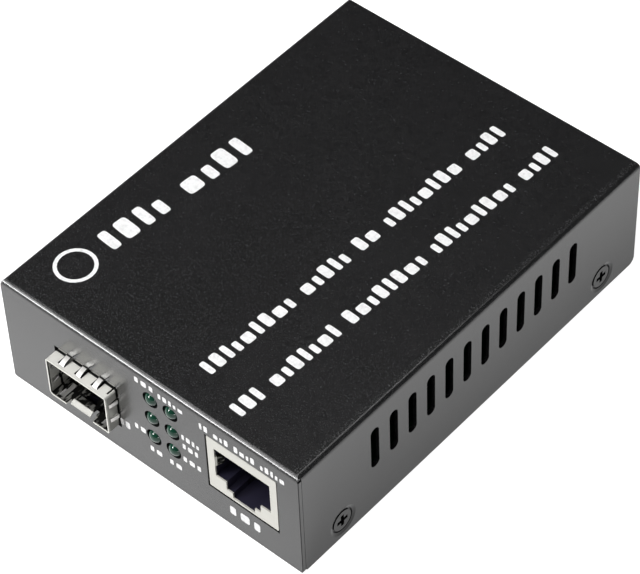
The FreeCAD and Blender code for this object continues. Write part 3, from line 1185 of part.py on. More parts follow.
def make_clock_crystal():
    """The crystal's flat can, with round ends."""
    crystal = new_body("clock_crystal")
    pad(crystal, "crystal_can", "XY", BOARD_TOP, f"{BOARD_TOP} + crystal_height",
        slot("crystal_x", "crystal_y", "crystal_depth", "crystal_width"))
    return crystal


def make_input_fuse():
    """A square chip fuse with a metal cap at each end."""
    half, width = "fuse_length / 2", "fuse_width / 2"
    across = (f"{FUSE_X} - {width}", f"{FUSE_X} + {width}")
    middle = block("fuse_body", (f"{FUSE_X} - {width} + lead_sheet", f"{FUSE_X} + {width} - lead_sheet"),
                   (f"{FUSE_Y} - {half} + fuse_cap", f"{FUSE_Y} + {half} - fuse_cap"),
                   (f"{BOARD_TOP} + lead_sheet", f"{BOARD_TOP} + fuse_width - lead_sheet"))
    up = (BOARD_TOP, f"{BOARD_TOP} + fuse_width")
    caps = [block("fuse_front_cap", across, (f"{FUSE_Y} - {half}", f"{FUSE_Y} - {half} + fuse_cap"), up),
            block("fuse_rear_cap", across, (f"{FUSE_Y} + {half} - fuse_cap", f"{FUSE_Y} + {half}"), up)]
    return fuse("input_fuse", [middle, *caps])


def make_ceramic_capacitors():
    row = new_body("ceramic_capacitors")
    first = pad(row, "ceramic", "XY", BOARD_TOP, f"{BOARD_TOP} + small_height",
                rectangle("small_x - small_width / 2", "small_x + small_width / 2",
                          "small_y - small_length / 2", "small_y + small_length / 2"))
    repeat(row, first, "X", "small_count", "small_spacing")
    return row


# -------------------------------------------------------------------------- build and write

NODES = [
    make_top_cover(), make_base_plate(), make_case_screws(),
    make_main_board(), make_board_standoffs(), make_board_screws(),
    make_sfp_cage(), make_sfp_spring_fingers(), make_sfp_connector(), make_sfp_contacts(),
    make_jack_shield(), make_jack_housing(), make_jack_contacts(),
    make_lamp_holder(), make_lamp_leads(),
    make_inlet_body(), make_inlet_pin(), make_inlet_contact(),
    make_converter_chip(), make_poe_controller(), make_line_transformer(),
    make_line_transformer_leads(), make_power_inductor(), make_bulk_capacitors(),
    make_clock_crystal(), make_input_fuse(), make_ceramic_capacitors(),
]
NODES += [make_lamp(number, *centre) for number, centre in enumerate(LAMP_CENTRES, start=1)]

doc.recompute()

for thing in doc.Objects:
    if "Invalid" in thing.State or "Error" in thing.State:
        raise RuntimeError(f"{thing.Name} did not compute: {thing.State}")
for node in NODES:
    if node.Shape.isNull() or not node.Shape.isValid():
        raise RuntimeError(f"{node.Name} has no sound shape")

os.makedirs("parts", exist_ok=True)
for node in NODES:
    node.Label = node.Name
    node.Shape.exportStep(os.path.join("parts", f"{node.Label}.step"))
    print(f"{node.Label}: {len(node.Shape.Solids)} solid(s), {node.Shape.Volume:.1f} mm3")
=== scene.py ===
import math

import bmesh
import bpy
import numpy as np
from mathutils import Matrix, Vector


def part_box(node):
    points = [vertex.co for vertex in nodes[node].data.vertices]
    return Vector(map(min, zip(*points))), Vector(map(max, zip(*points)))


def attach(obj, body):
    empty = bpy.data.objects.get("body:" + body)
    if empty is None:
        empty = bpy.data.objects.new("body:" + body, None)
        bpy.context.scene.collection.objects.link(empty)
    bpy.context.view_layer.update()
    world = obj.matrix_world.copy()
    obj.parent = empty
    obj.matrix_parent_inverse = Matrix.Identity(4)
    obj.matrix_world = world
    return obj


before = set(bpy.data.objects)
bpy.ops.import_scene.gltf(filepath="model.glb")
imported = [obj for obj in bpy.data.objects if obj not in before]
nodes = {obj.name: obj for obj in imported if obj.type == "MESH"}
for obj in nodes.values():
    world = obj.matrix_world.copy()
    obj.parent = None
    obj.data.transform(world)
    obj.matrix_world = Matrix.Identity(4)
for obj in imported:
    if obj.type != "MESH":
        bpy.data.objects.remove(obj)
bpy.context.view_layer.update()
MM = 0.001
BLEND = 0.02 * MM


# ------------------------------------------------------------------ places read off the frame

def low_of(node):
    """The low corner of a node's box."""
    return Vector(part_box(node)[0])


def high_of(node):
    """The high corner of a node's box."""
    return Vector(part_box(node)[1])


def middle_of(node):
    """The middle of a node's box."""
    return (low_of(node) + high_of(node)) / 2


COVER_LOW, COVER_HIGH = low_of("top_cover"), high_of("top_cover")
PANEL_FACE = COVER_LOW.y
ROOF = COVER_HIGH.z


# ---------------------------------------------------------------------------- the material kit

class Wire:
    """One output in a material's graph. Sums, differences and products with it add Math nodes."""

    def __init__(self, graph, socket):
        self.graph = graph
        self.socket = socket

    def _math(self, operation, *values):
        return self.graph.node("ShaderNodeMath", {"operation": operation}, dict(enumerate(values)))

    def __add__(self, other):
        return self._math("ADD", self, other)

    def __radd__(self, other):
        return self._math("ADD", other, self)

    def __rsub__(self, other):
        return self._math("SUBTRACT", other, self)

    def __mul__(self, other):
        return self._math("MULTIPLY", self, other)

    def __rmul__(self, other):
        return self._math("MULTIPLY", other, self)


class Graph:
    """A node material with one Principled shader, called skin."""

    def __init__(self, name):
        self.material = bpy.data.materials.new(name)
        self.material.use_nodes = True
        self.tree = self.material.node_tree
        self.tree.nodes.clear()
        self.output = self.tree.nodes.new("ShaderNodeOutputMaterial")
        self.skin = self.tree.nodes.new("ShaderNodeBsdfPrincipled")
        self.tree.links.new(self.skin.outputs[0], self.output.inputs[0])

    def feed(self, socket, value):
        """Links a wire to a socket, or sets the socket's own constant."""
        if isinstance(value, Wire):
            self.tree.links.new(value.socket, socket)
        else:
            socket.default_value = value

    def node(self, kind, settings=None, inputs=None, output=0):
        """A new node with these settings and inputs, as a wire from one of its outputs."""
        made = self.tree.nodes.new(kind)
        for key, value in (settings or {}).items():
            setattr(made, key, value)
        for key, value in (inputs or {}).items():
            self.feed(made.inputs[key], value)
        return Wire(self, made.outputs[output])

    def place(self):
        """Object coordinates."""
        return self.node("ShaderNodeTexCoord", output="Object")

    def stretched(self, scale):
        """Object coordinates scaled along each axis."""
        return self.node("ShaderNodeMapping", None, {"Vector": self.place(), "Scale": scale})

    def noise(self, scale, detail=2.0, roughness=0.5, where=None):
        """A soft random level, about 0.5 on average, with scale cycles to a metre."""
        return self.node("ShaderNodeTexNoise", None, {"Vector": where or self.place(), "Scale": scale,
                                                      "Detail": detail, "Roughness": roughness})

    def between(self, value, low, high):
        """0 below low, 1 above high, straight in between."""
        return self.node("ShaderNodeMapRange", {"clamp": True},
                         {"Value": value, "From Min": low, "From Max": high})

    def axis(self, number):
        """One of the three object coordinates."""
        return self.node("ShaderNodeSeparateXYZ", None, {0: self.place()}, output=number)

    def within(self, low, high):
        """1 inside a box of object coordinates and 0 outside it, with a thin blend at its faces."""
        share = 1.0
        for number in range(3):
            level = self.axis(number)
            share = share * self.between(level, low[number], low[number] + BLEND)
            share = share * self.between(level, high[number], high[number] - BLEND)
        return share

    def any_of(self, boxes):
        """1 inside any of some boxes that don't meet each other, and 0 outside them."""
        share = 0.0
        for low, high in boxes:
            share = share + self.within(low, high)
        return share

    def mix(self, share, first, second):
        """A colour that turns from the first to the second as share goes from 0 to 1."""
        made = self.tree.nodes.new("ShaderNodeMix")
        made.data_type = "RGBA"
        self.feed(made.inputs[0], share)
        self.feed(made.inputs[6], first)
        self.feed(made.inputs[7], second)
        return Wire(self, made.outputs[2])

    def bump(self, height, strength, distance):
        """A normal tilted by a height of 0 to 1, which stands for distance in metres."""
        return self.node("ShaderNodeBump", None,
                         {"Height": height, "Strength": strength, "Distance": distance})

    def set(self, **sockets):
        """Feeds the shader's sockets, named with _ for each space."""
        for name, value in sockets.items():
            self.feed(self.skin.inputs[name.replace("_", " ")], value)


PEEL_HEIGHT = 0.16 * MM
GRAIN_HEIGHT = 0.02 * MM
TRACK_HEIGHT = 0.03 * MM
# Painted shade: black where shade falls in the gaps round the cage and beside its fingers.
PAINTED_GAP_SHADE = (0.01, 0.01, 0.01, 1)


def toned(colour, share, lift=0.0):
    """A colour with each channel times share, plus lift."""
    return tuple(channel * share + lift for channel in colour[:3]) + (1,)


def powder_coat(dull_places):
    """Black textured paint: a fine orange-peel grain, weaker off the roof, and scattered light specks,
    drawn denser towards the front and along the right fold as painted glints; more gloss on the front
    fold, and none in the boxes of dull_places, where sheet is cut."""
    dark, light = (0.0045, 0.0045, 0.0048, 1), (0.0145, 0.0145, 0.0152, 1)
    fine_speck, coarse_speck = (0.066, 0.066, 0.067, 1), (0.04, 0.04, 0.042, 1)
    side_grain = 0.25
    paint = Graph("powder_coat")
    rightward, backward, upward = (paint.axis(number) for number in range(3))
    dull = paint.any_of(dull_places)
    roof = paint.between(upward, ROOF - 0.9 * MM, ROOF - 0.5 * MM)
    # Shares for painted glints: the specks grow denser towards the front and along the right fold.
    front_glint_share = paint.between(backward, COVER_HIGH.y, PANEL_FACE)
    fold = (paint.between(upward, ROOF - 1.0 * MM, ROOF - 0.8 * MM)
            * paint.between(backward, PANEL_FACE + 1.2 * MM, PANEL_FACE + 1.0 * MM))
    painted_edge_highlight = (paint.between(rightward, COVER_HIGH.x - 2.0 * MM, COVER_HIGH.x - 1.4 * MM)
           * paint.between(rightward, COVER_HIGH.x - 0.7 * MM, COVER_HIGH.x - 1.0 * MM))
    grain = paint.noise(2400, 4.0, 0.7)
    drift = paint.noise(90, 2.0)
    speck = paint.between(paint.noise(2600, 1.0), 0.68, 0.80)
    fleck = paint.between(paint.noise(800, 4.0, 0.7), 0.35, 0.7)
    pepper = paint.between(paint.noise(4200, 2.0, 0.6), 0.56, 0.74)
    base = paint.mix(0.7 * fleck + 0.3 * drift, dark, light)
    # Real light specks, denser towards the front and along the right fold as painted glints.
    base = paint.mix(pepper * roof * (0.7 * front_glint_share + 2.2 * painted_edge_highlight), base, fine_speck)
    paint.set(Base_Color=paint.mix(speck, base, coarse_speck),
              Roughness=0.2 + 0.1 * grain + 0.5 * dull,
              Coat_Weight=(0.6 + 0.06 * drift + 0.34 * fold) * (1 - dull),
              Normal=paint.bump(grain * (side_grain + (1 - side_grain) * roof), 1.0, PEEL_HEIGHT))
    paint.set(Specular_IOR_Level=0.3, Coat_Roughness=0.17, Coat_IOR=1.5)
    return paint.material


def brushed(name, colour, roughness, stretch, metallic=1.0, hollow=None, tongue=None,
            painted_light_flanks=(), flank_light_share=0.5, gap_shade=()):
    """Plated sheet with a faint rolled grain along one axis, with painted light: painted shade on a
    tongue, painted shade with streaks of painted reflection in the rest of a hollow, fully metallic on
    its side walls, whose colour is flank_light_share of the rest's as painted shade below one and a
    painted highlight above one, and painted black shade in its slit boxes."""
    valley_share, tongue_shade_share, hollow_shade_share, streak_glint_share = 0.86, 0.42, 0.015, 0.3
    metal = Graph(name)
    lines = metal.noise(900, 3.0, 0.6, metal.stretched(stretch))
    cloud = metal.noise(260, 2.0)
    tone = metal.mix(0.6 * lines + 0.4 * cloud, toned(colour, valley_share), colour)
    inside, at_tongue = 0.0, 0.0
    # Painted shade on the tongue in the cage's mouth.
    if tongue:
        at_tongue = metal.within(*tongue)
        tone = metal.mix(at_tongue, tone, toned(colour, tongue_shade_share))
    # Painted shade in the hollow, with noise streaks of painted reflection.
    if hollow:
        inside = metal.within(*hollow) * (1 - at_tongue)
        streak = metal.noise(1500, 2.0, 0.5, metal.stretched((1, 0.35, 0.8)))
        streak = metal.between(streak, 0.54, 0.62)
        streaked = metal.mix(streak, toned(colour, hollow_shade_share), toned(colour, streak_glint_share))
        tone = metal.mix(inside, tone, streaked)
    # Side walls: fully metallic, with colour times flank_light_share, painted shade below one and a
    # painted highlight above one.
    bare = metal.any_of(painted_light_flanks)
    if painted_light_flanks:
        tone = metal.mix(bare, tone, toned(colour, flank_light_share))
    # Painted shade: black in the gaps round the cage and beside its fingers.
    if gap_shade:
        tone = metal.mix(metal.any_of(gap_shade), tone, PAINTED_GAP_SHADE)
    metal.set(Base_Color=tone, Roughness=roughness - 0.07 + 0.14 * lines + 0.35 * inside,
              Metallic=metallic + (1 - metallic) * (bare + inside),
              Normal=metal.bump(lines, 0.12, GRAIN_HEIGHT))
    return metal.material


def moulding(name, colour, roughness):
    """Moulded plastic with a fine spark-eroded grain and slight flow in its colour."""
    plastic = Graph(name)
    grain = plastic.noise(1500, 2.0)
    flow = plastic.noise(140, 2.0)
    plastic.set(Base_Color=plastic.mix(flow, colour, toned(colour, 1.35, 0.002)),
                Roughness=roughness - 0.08 + 0.16 * grain,
                Normal=plastic.bump(grain, 0.15, GRAIN_HEIGHT))
    return plastic.material


def lamp_lens():
    """Dark green clear lens: a glossy skin over a green that is painted lighter towards its edge as
    seen, a painted sheen.
    """
    deep, clear, painted_edge_highlight = (0.004, 0.028, 0.016, 1), (0.007, 0.045, 0.026, 1), (0.02, 0.075, 0.05, 1)
    lens = Graph("lamp_green")
    swirl = lens.noise(700, 2.0)
    edge = lens.node("ShaderNodeLayerWeight", None, {"Blend": 0.35}, "Facing")
    # Lighter green towards the lens's edge as seen: a painted sheen.
    lens.set(Base_Color=lens.mix(edge, lens.mix(swirl, deep, clear), painted_edge_highlight),
             Roughness=0.06 + 0.04 * swirl)
    lens.set(Specular_IOR_Level=0.3, Coat_Weight=0.35, Coat_Roughness=0.04)
    return lens.material


def board_mask(shaded):
    """Green solder mask over faint copper tracks, almost black in the shaded box."""
    bare, over_track, shade = (0.004, 0.03, 0.012, 1), (0.008, 0.055, 0.022, 1), (0.004, 0.004, 0.007, 1)
    mask = Graph("board_mask")
    tracks = mask.noise(1.0, 1.0, 0.5, mask.stretched((900, 60, 60)))
    tracks = mask.between(tracks, 0.52, 0.56)
    green = mask.mix(tracks, bare, over_track)
    mask.set(Base_Color=mask.mix(mask.within(*shaded), green, shade),
             Roughness=0.32 + 0.1 * mask.noise(300, 2.0),
             Normal=mask.bump(tracks, 0.3, TRACK_HEIGHT))
    mask.set(Specular_IOR_Level=0.2)
    return mask.material


def printed_white():
    """Screen-printed white ink: matt, slightly uneven in cover."""
    thin, full = (0.74, 0.74, 0.74, 1), (0.92, 0.92, 0.92, 1)
    ink = Graph("printed_white")
    cover = ink.noise(1600, 3.0)
    ink.set(Base_Color=ink.mix(ink.between(cover, 0.25, 0.55), thin, full),
            Roughness=0.5 + 0.15 * cover, Normal=ink.bump(cover, 0.2, GRAIN_HEIGHT))
    return ink.material


# --------------------------------------------------------------------- places for the finishes

EDGE = 0.35 * MM
GAP = 0.2 * MM
LINE = 0.12 * MM
CAGE_SHEET = 0.12 * MM
CAGE_LIP = 0.1 * MM
TONGUE_INSET = 4 * MM
TONGUE_DEPTH = 1.3 * MM
TONGUE_HEIGHT = 1.6 * MM
FINGER_SPACING = 4 * MM
FINGER_HALF = 0.6 * MM
SOCKET_LIP = 0.4 * MM

BOARD_TOP = high_of("main_board").z
CAGE_LOW, CAGE_HIGH = low_of("sfp_cage"), high_of("sfp_cage")
CAGE_X = (CAGE_LOW.x + CAGE_HIGH.x) / 2
FINGERS_LOW, FINGERS_HIGH = low_of("sfp_spring_fingers"), high_of("sfp_spring_fingers")
JACK_LOW, JACK_HIGH = low_of("jack_shield"), high_of("jack_shield")

# The cage's hollow, which gets painted shade with streaks of painted reflection.
CAVITY = ((CAGE_LOW.x + CAGE_SHEET, CAGE_LOW.y + CAGE_LIP, BOARD_TOP + CAGE_SHEET),
          (CAGE_HIGH.x - CAGE_SHEET, CAGE_HIGH.y, CAGE_HIGH.z - CAGE_SHEET))
# The tongue in the cage's mouth, which gets painted shade.
TONGUE = ((CAGE_LOW.x + TONGUE_INSET, CAGE_LOW.y, BOARD_TOP),
          (CAGE_HIGH.x - TONGUE_INSET, CAGE_LOW.y + TONGUE_DEPTH, BOARD_TOP + TONGUE_HEIGHT))
# The cage's side walls, which get painted shade.
SHADED_CAGE_WALLS = [((x - EDGE, CAGE_LOW.y + EDGE, CAGE_LOW.z), (x + EDGE, CAGE_HIGH.y, CAGE_HIGH.z - EDGE))
          for x in (CAGE_LOW.x, CAGE_HIGH.x)]
# The side fingers, which get a painted highlight.
LIT_SIDE_FINGERS = [((low, FINGERS_LOW.y, FINGERS_LOW.z), (high, FINGERS_HIGH.y, CAGE_HIGH.z - EDGE))
                for low, high in ((FINGERS_LOW.x - EDGE, CAGE_LOW.x + EDGE),
                                  (CAGE_HIGH.x - EDGE, FINGERS_HIGH.x + EDGE))]
# The socket's hollow, which gets painted shade with streaks of painted reflection.
SOCKET = ((JACK_LOW.x + MM, JACK_LOW.y + SOCKET_LIP, JACK_LOW.z + MM),
          (JACK_HIGH.x - MM, JACK_HIGH.y, JACK_HIGH.z - MM))


def cut_edges():
    """The panel's opening round the cage, and the front's two upright edges."""
    opening = ((CAGE_LOW.x - EDGE, PANEL_FACE - EDGE, BOARD_TOP),
               (CAGE_HIGH.x + EDGE, PANEL_FACE + EDGE, CAGE_HIGH.z + EDGE))
    return [opening] + [((x - LINE, PANEL_FACE - EDGE, COVER_LOW.z - EDGE),
                         (x + LINE, PANEL_FACE + LINE, COVER_HIGH.z - EDGE))
                        for x in (COVER_LOW.x, COVER_HIGH.x)]


def painted_gap_shade_boxes():
    """Boxes of painted shade: the ring where the cage passes through the panel, and a slit each side of
    an upper finger, painted black where shade falls in the gaps.
    """
    gap_shade = [((CAGE_LOW.x - MM, PANEL_FACE - GAP, BOARD_TOP),
              (CAGE_HIGH.x + MM, PANEL_FACE + EDGE, CAGE_HIGH.z + MM))]
    for step in (-1, 0, 1):
        finger = CAGE_X + step * FINGER_SPACING
        for start, end in ((finger - FINGER_HALF - 2 * GAP, finger - FINGER_HALF + GAP / 2),
                           (finger + FINGER_HALF - GAP / 2, finger + FINGER_HALF + GAP)):
            gap_shade.append(((start, CAGE_LOW.y + 4 * GAP, CAGE_HIGH.z - EDGE),
                          (end, PANEL_FACE - GAP, CAGE_HIGH.z + MM)))
    return gap_shade


# ------------------------------------------------------------------------------- the finishes

# Boxes of painted gap shade for the cage and its springs.
GAP_SHADE_BOXES = painted_gap_shade_boxes()
PAINT = powder_coat(cut_edges())
# The cage gets painted shade on its side walls; the springs get a painted highlight on their side
# fingers.
CAGE = brushed("cage_nickel", (0.87, 0.86, 0.805, 1), 0.36, (1, 0.12, 1), metallic=0.38,
               hollow=CAVITY, tongue=TONGUE, painted_light_flanks=SHADED_CAGE_WALLS, gap_shade=GAP_SHADE_BOXES)
SPRING = brushed("spring_nickel", (0.62, 0.61, 0.59, 1), 0.36, (1, 0.12, 1), metallic=0.7,
                 painted_light_flanks=LIT_SIDE_FINGERS, flank_light_share=1.35, gap_shade=GAP_SHADE_BOXES)
# The tin gets painted shade with streaks of painted reflection in the socket's hollow.
TIN = brushed("jack_tin", (0.7, 0.69, 0.64, 1), 0.45, (0.2, 1, 1), metallic=0.4, hollow=SOCKET)
NICKEL = brushed("plated_steel", (0.62, 0.6, 0.56, 1), 0.3, (1, 1, 0.2))
GOLD = brushed("contact_gold", (0.86, 0.62, 0.28, 1), 0.28, (1, 0.2, 1))
CAN = brushed("capacitor_can", (0.5, 0.5, 0.52, 1), 0.4, (1, 1, 0.1))
BLACK = moulding("black_moulding", (0.012, 0.012, 0.014, 1), 0.45)
NAVY = moulding("jack_moulding", (0.010, 0.009, 0.020, 1), 0.38)
EPOXY = moulding("chip_epoxy", (0.014, 0.014, 0.015, 1), 0.55)
FERRITE = moulding("ferrite", (0.05, 0.05, 0.055, 1), 0.6)
CERAMIC = moulding("fired_ceramic", (0.36, 0.27, 0.17, 1), 0.5)
LENS = lamp_lens()
BOARD = board_mask((CAGE_LOW, CAGE_HIGH))
INK = printed_white()

FINISHES = {
    PAINT: ["top_cover", "base_plate", "case_screws"],
    CAGE: ["sfp_cage"],
    SPRING: ["sfp_spring_fingers"],
    TIN: ["jack_shield"],
    NICKEL: ["board_standoffs", "board_screws", "led_leads", "dc_inlet_pin", "dc_inlet_contact",
             "line_transformer_leads", "clock_crystal"],
    GOLD: ["sfp_contacts", "jack_contacts"],
    CAN: ["bulk_capacitors"],
    BLACK: ["sfp_connector", "led_holder", "dc_inlet_body"],
    NAVY: ["jack_housing"],
    EPOXY: ["converter_chip", "poe_controller", "line_transformer"],
    FERRITE: ["power_inductor"],
    CERAMIC: ["input_fuse", "ceramic_capacitors"],
    LENS: [f"led_{number}" for number in range(1, 7)],
    BOARD: ["main_board"],
}
for finish, members in FINISHES.items():
    for member in members:
        mesh = nodes[member].data
        mesh.materials.clear()
        mesh.materials.append(finish)


# ---------------------------------------------------------------------------- printed marks

INK_DEPTH = 0.02 * MM
CORNERS = 24
BAR_ROUNDNESS = 5
RING_ROUNDNESS = 2
WELD = 1e-7


def mark_ring(width, height, roundness, inset):
    """A closed outline: a superellipse, x to the n plus y to the n is one, drawn in by inset."""
    turn = np.linspace(0, 2 * math.pi, CORNERS, endpoint=False)
    across = np.sign(np.cos(turn)) * np.abs(np.cos(turn)) ** (2 / roundness)
    up = np.sign(np.sin(turn)) * np.abs(np.sin(turn)) ** (2 / roundness)
    return np.stack([across * (width / 2 - inset), up * (height / 2 - inset)], axis=1)


def mark_surface(mark):
    """Points and faces of one mark as a thin slab: the section of its edge carried round it.

    A hollow mark's section is a rectangle between the outer outline and the inner one; a solid
    mark's section runs from its middle, out, over the edge and back to its middle. The slab is
    then turned by its lean and moved to its place."""
    width, height, stroke = mark["width"], mark["height"], mark.get("stroke")
    roundness, lean = mark.get("roundness", BAR_ROUNDNESS), mark.get("lean", 0.0)
    outer = mark_ring(width, height, roundness, 0.0)
    inner = mark_ring(width, height, roundness, stroke) if stroke else outer * 0.0
    rings = [np.column_stack([outline, np.full(CORNERS, level)])
             for outline, level in ((inner, 0.0), (outer, 0.0), (outer, 1.0), (inner, 1.0))]
    points = np.concatenate(rings)
    turned = np.array([[math.cos(lean), -math.sin(lean)], [math.sin(lean), math.cos(lean)]])
    points[:, :2] = points[:, :2] @ turned.T + np.array(mark["at"])
    around = np.arange(CORNERS)
    following = (around + 1) % CORNERS
    steps = [(0, 1), (1, 2), (2, 3)] + ([(3, 0)] if stroke else [])
    faces = [np.stack([a * CORNERS + around, a * CORNERS + following,
                       b * CORNERS + following, b * CORNERS + around], axis=1) for a, b in steps]
    return points, np.concatenate(faces)


def print_marks(name, marks, origin, along, up):
    """All the marks of one print as a single piece, lying on the face through origin.

    Each point is the origin, plus its first number along, plus its second up, plus its level, 0
    or 1, times the ink's depth along the cross product of along and up."""
    along, up = np.array(along, float), np.array(up, float)
    out = np.cross(along, up)
    points, faces, count = [], [], 0
    for mark in marks:
        own_points, own_faces = mark_surface(mark)
        points.append(own_points)
        faces.append(own_faces + count)
        count += len(own_points)
    flat = np.concatenate(points)
    placed = (np.array(origin) + flat[:, :1] * along + flat[:, 1:2] * up
              + flat[:, 2:] * INK_DEPTH * out)
    mesh = bpy.data.meshes.new(name)
    mesh.from_pydata(placed.tolist(), [], np.concatenate(faces).tolist())
    shape = bmesh.new()
    shape.from_mesh(mesh)
    bmesh.ops.remove_doubles(shape, verts=shape.verts, dist=WELD)
    bmesh.ops.recalc_face_normals(shape, faces=shape.faces)
    shape.to_mesh(mesh)
    shape.free()
    mesh.materials.append(INK)
    piece = bpy.data.objects.new(name, mesh)
    bpy.context.scene.collection.objects.link(piece)
    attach(piece, "root")
    return piece


GOLDEN = (math.sqrt(5) - 1) / 2
STRIDE = 7
BLOCKS = ((0.5, 1.0), (0.9, 0.72), (0.75, 1.0), (0.5, 0.72))
BAR_GAP, GROUP_GAP = 0.38, 0.8


def block(number, group):
    """A bar's width and height: the fraction of a multiple of the golden section picks them."""
    return BLOCKS[int(len(BLOCKS) * ((number + STRIDE * group) * GOLDEN % 1))]


def bar_row(start, end, height, counts):
    """A line of plain rounded bars in groups of these counts, from start to end, all in mm.

    The blocks and gaps share out the line's length, and each bar stands on the line."""
    groups = [[block(number, group) for number in range(count)] for group, count in enumerate(counts)]
    length = (sum(wide + BAR_GAP for group in groups for wide, tall in group)
              + GROUP_GAP * (len(groups) - 1) - BAR_GAP)
    start, end, height = np.array(start) * MM, np.array(end) * MM, height * MM
    span = np.linalg.norm(end - start)
    way = (end - start) / span
    side = np.array([-way[1], way[0]])
    unit = span / length
    marks, reach = [], 0.0
    for group in groups:
        for wide, tall in group:
            at = start + way * (reach + wide / 2) * unit + side * tall * height / 2
            marks.append({"at": at, "width": wide * unit, "height": tall * height,
                          "lean": math.atan2(way[1], way[0])})
            reach += wide + BAR_GAP
        reach += GROUP_GAP
    return marks


def top_print():
    """Two long lines, a bold line and a plain ring on the roof, reading from front to back."""
    line_height, bold_height = 3.3, 5.0
    ring_place, ring_size, ring_stroke = (-36.0, 27.0), 8.2 * MM, 0.75 * MM
    rows = (
        # start, end, height, counts
        ((-39.2, -8.6), (37.7, -11.4), line_height, (9, 5, 2, 8, 4)),
        ((-42.8, -18.8), (39.7, -22.0), line_height, (3, 7, 8, 9, 4)),
        ((-29.0, 24.2), (5.2, 21.6), bold_height, (4, 4)),
    )
    marks = [mark for row in rows for mark in bar_row(*row)]
    marks.append({"at": np.array(ring_place) * MM, "width": ring_size, "height": ring_size,
                  "stroke": ring_stroke, "roundness": RING_ROUNDNESS})
    return print_marks("top_print", marks, (0, 0, ROOF), (0, 1, 0), (-1, 0, 0))


def front_print():
    """Small marks beside the lamps and round the sockets."""
    lamp_height, jack_height, foot_height, cage_height = 1.25, 1.5, 2.1, 1.7
    left, right, jack = (middle_of(node).x / MM for node in ("led_1", "led_2", "jack_shield"))
    cage = high_of("sfp_cage").x / MM
    rows = (
        # first and last x, level of the row's foot, height, counts
        (left - 3.4, left + 0.9, 23.1, lamp_height, (3,)),
        (right - 2.6, right + 3.1, 22.6, lamp_height, (5,)),
        (left - 4.6, left - 2.0, 9.6, lamp_height, (2,)),
        (left - 1.2, left + 1.6, 5.9, lamp_height, (2,)),
        (right - 1.2, right + 1.6, 5.9, lamp_height, (2,)),
        (right + 2.3, right + 6.4, 15.4, lamp_height, (4,)),
        (right + 2.4, right + 6.0, 13.0, lamp_height, (3,)),
        (right + 2.3, right + 6.4, 9.4, lamp_height, (3,)),
        (jack - 9.3, jack + 10.0, 22.0, jack_height, (2, 3, 4, 5)),
        (jack - 3.4, jack + 3.6, 3.4, foot_height, (3,)),
        (cage + 0.3, cage + 2.6, 7.6, cage_height, (2,)),
    )
    marks = []
    for first, last, level, height, counts in rows:
        marks += bar_row((first, level), (last, level), height, counts)
    return print_marks("front_print", marks, (0, PANEL_FACE, 0), (1, 0, 0), (0, 0, 1))


# ------------------------------------------------------------------------- floor, light, view

def stage_floor():
    """A wide pale table that keeps a soft shadow. It shows white to the eye, and metal and paint
    mirror it as white in front of the panel, and greyer to the right of the case and behind it."""
    size, drop = 6.0, 0.02 * MM
    panel_foot, front_reach, left_reach = (-0.0460, -0.0475), (-0.115, -0.055), (0.035, -0.025)
    right_foot, right_reach = (0.0345, 0.0350), (0.036, 0.056)
    seen_glow, plain_glow = 0.95, 0.20
    front_glow, left_glow, right_glow, beside_glow = 0.56, 0.22, 0.27, 0.46
    bpy.ops.mesh.primitive_plane_add(size=size, location=(0, 0, -drop))
    floor = bpy.context.object
    floor.name = "pale_floor"
    table = Graph("pale_table")
    rays = table.tree.nodes.new("ShaderNodeLightPath")
    seen, mirrored, through = (Wire(table, rays.outputs[name]) for name in
                               ("Is Camera Ray", "Is Glossy Ray", "Is Transmission Ray"))
    across, along = table.axis(0), table.axis(1)
    frontness = table.between(along, *panel_foot) * table.between(along, *front_reach)
    leftness = table.between(across, *left_reach)
    rightness = table.between(across, *right_foot)
    beside = table.between(across, *right_reach)
    table.set(Base_Color=(0.35, 0.35, 0.35, 1), Roughness=0.9, Specular_IOR_Level=0.0)
    strength = seen * seen_glow + (mirrored + through) * (
        plain_glow + (right_glow + beside_glow * beside) * rightness
        + (front_glow + left_glow * leftness) * frontness)
    glow = table.node("ShaderNodeEmission", None, {"Color": (1, 1, 1, 1), "Strength": strength})
    both = table.node("ShaderNodeAddShader", None, {0: Wire(table, table.skin.outputs[0]), 1: glow})
    table.tree.links.new(both.socket, table.output.inputs[0])
    floor.data.materials.append(table.material)


CASE_MIDDLE = (0, 0, 0.013)
LAMPS = {
    # direction, distance, width, height, power
    "front_left_softbox": ((-0.46, -0.79, 0.38), 0.9, 0.22, 0.19, 5.0),
    "overhead_softbox": ((0.0, -0.4, 0.9), 1.1, 0.7, 0.5, 6.0),
    "front_fold_strip": ((-0.46, -0.1, 0.88), 1.0, 0.58, 0.12, 0.9),
    "front_fold_sheet": ((-0.46, -0.58, 0.68), 1.0, 0.36, 0.34, 2.7),
    "right_fold_strip": ((-0.09, 0.43, 0.9), 1.0, 0.5, 0.12, 0.8),
    "front_right_lamp": ((0.78, -0.62, 0.03), 0.9, 0.06, 0.06, 0.6),
}


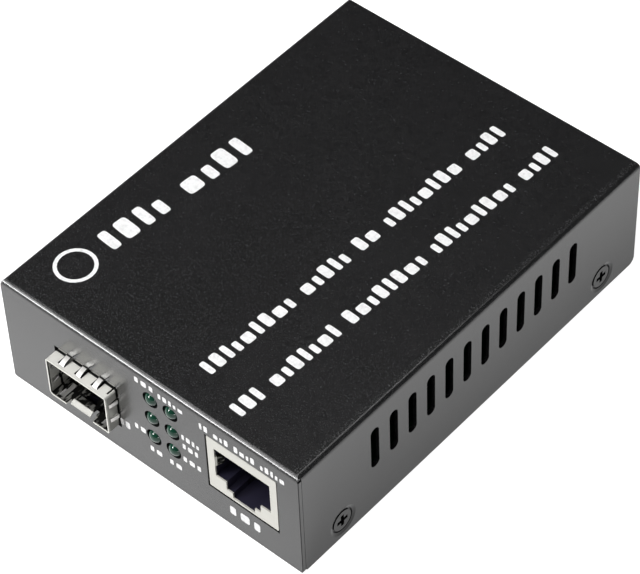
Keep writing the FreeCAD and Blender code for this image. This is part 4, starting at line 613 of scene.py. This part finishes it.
def softbox(name, towards, distance, width, height, power):
    """A rectangular lamp that lies in a direction from the case's middle and faces it."""
    lamp = bpy.data.lights.new(name, "AREA")
    lamp.shape = "RECTANGLE"
    lamp.size, lamp.size_y = width, height
    lamp.energy = power
    holder = bpy.data.objects.new(name, lamp)
    way = Vector(towards).normalized()
    holder.location = Vector(CASE_MIDDLE) + way * distance
    holder.rotation_euler = way.to_track_quat("Z", "Y").to_euler()
    bpy.context.scene.collection.objects.link(holder)


def stage_light():
    """A dim plain surround, dimmer where it is mirrored and white to the eye, and the lamps."""
    surround, mirrored_surround = 0.1, 0.03
    world = bpy.data.worlds.new("studio")
    world.use_nodes = True
    tree = world.node_tree
    shade = tree.nodes["Background"]
    rays = tree.nodes.new("ShaderNodeLightPath")
    level = tree.nodes.new("ShaderNodeMapRange")
    level.inputs["To Min"].default_value = surround
    level.inputs["To Max"].default_value = mirrored_surround
    tree.links.new(rays.outputs["Is Glossy Ray"], level.inputs["Value"])
    backdrop = tree.nodes.new("ShaderNodeMath")
    backdrop.operation = "ADD"
    tree.links.new(rays.outputs["Is Camera Ray"], backdrop.inputs[0])
    tree.links.new(level.outputs[0], backdrop.inputs[1])
    tree.links.new(backdrop.outputs[0], shade.inputs[1])
    shade.inputs[0].default_value = (1, 1, 1, 1)
    bpy.context.scene.world = world
    for name, lamp in LAMPS.items():
        softbox(name, *lamp)


def view_camera():
    """A long lens from above the front right corner, turned slightly about its own axis."""
    place = Vector((0.24148, -0.26139, 0.40777))
    aim = Vector((0.001784, -0.003853, 0.013))
    roll = Matrix.Rotation(math.radians(-2.535), 3, "Z")
    lens = bpy.data.cameras.new("view")
    lens.lens = 164.4
    lens.sensor_width = 36.0
    camera = bpy.data.objects.new("view", lens)
    camera.location = place
    level = (aim - place).to_track_quat("-Z", "Y").to_matrix()
    camera.rotation_euler = (level @ roll).to_euler()
    bpy.context.scene.collection.objects.link(camera)
    bpy.context.scene.camera = camera


view_camera()
top_print()
front_print()
stage_floor()
stage_light()
bpy.context.scene.view_settings.view_transform = "Standard"
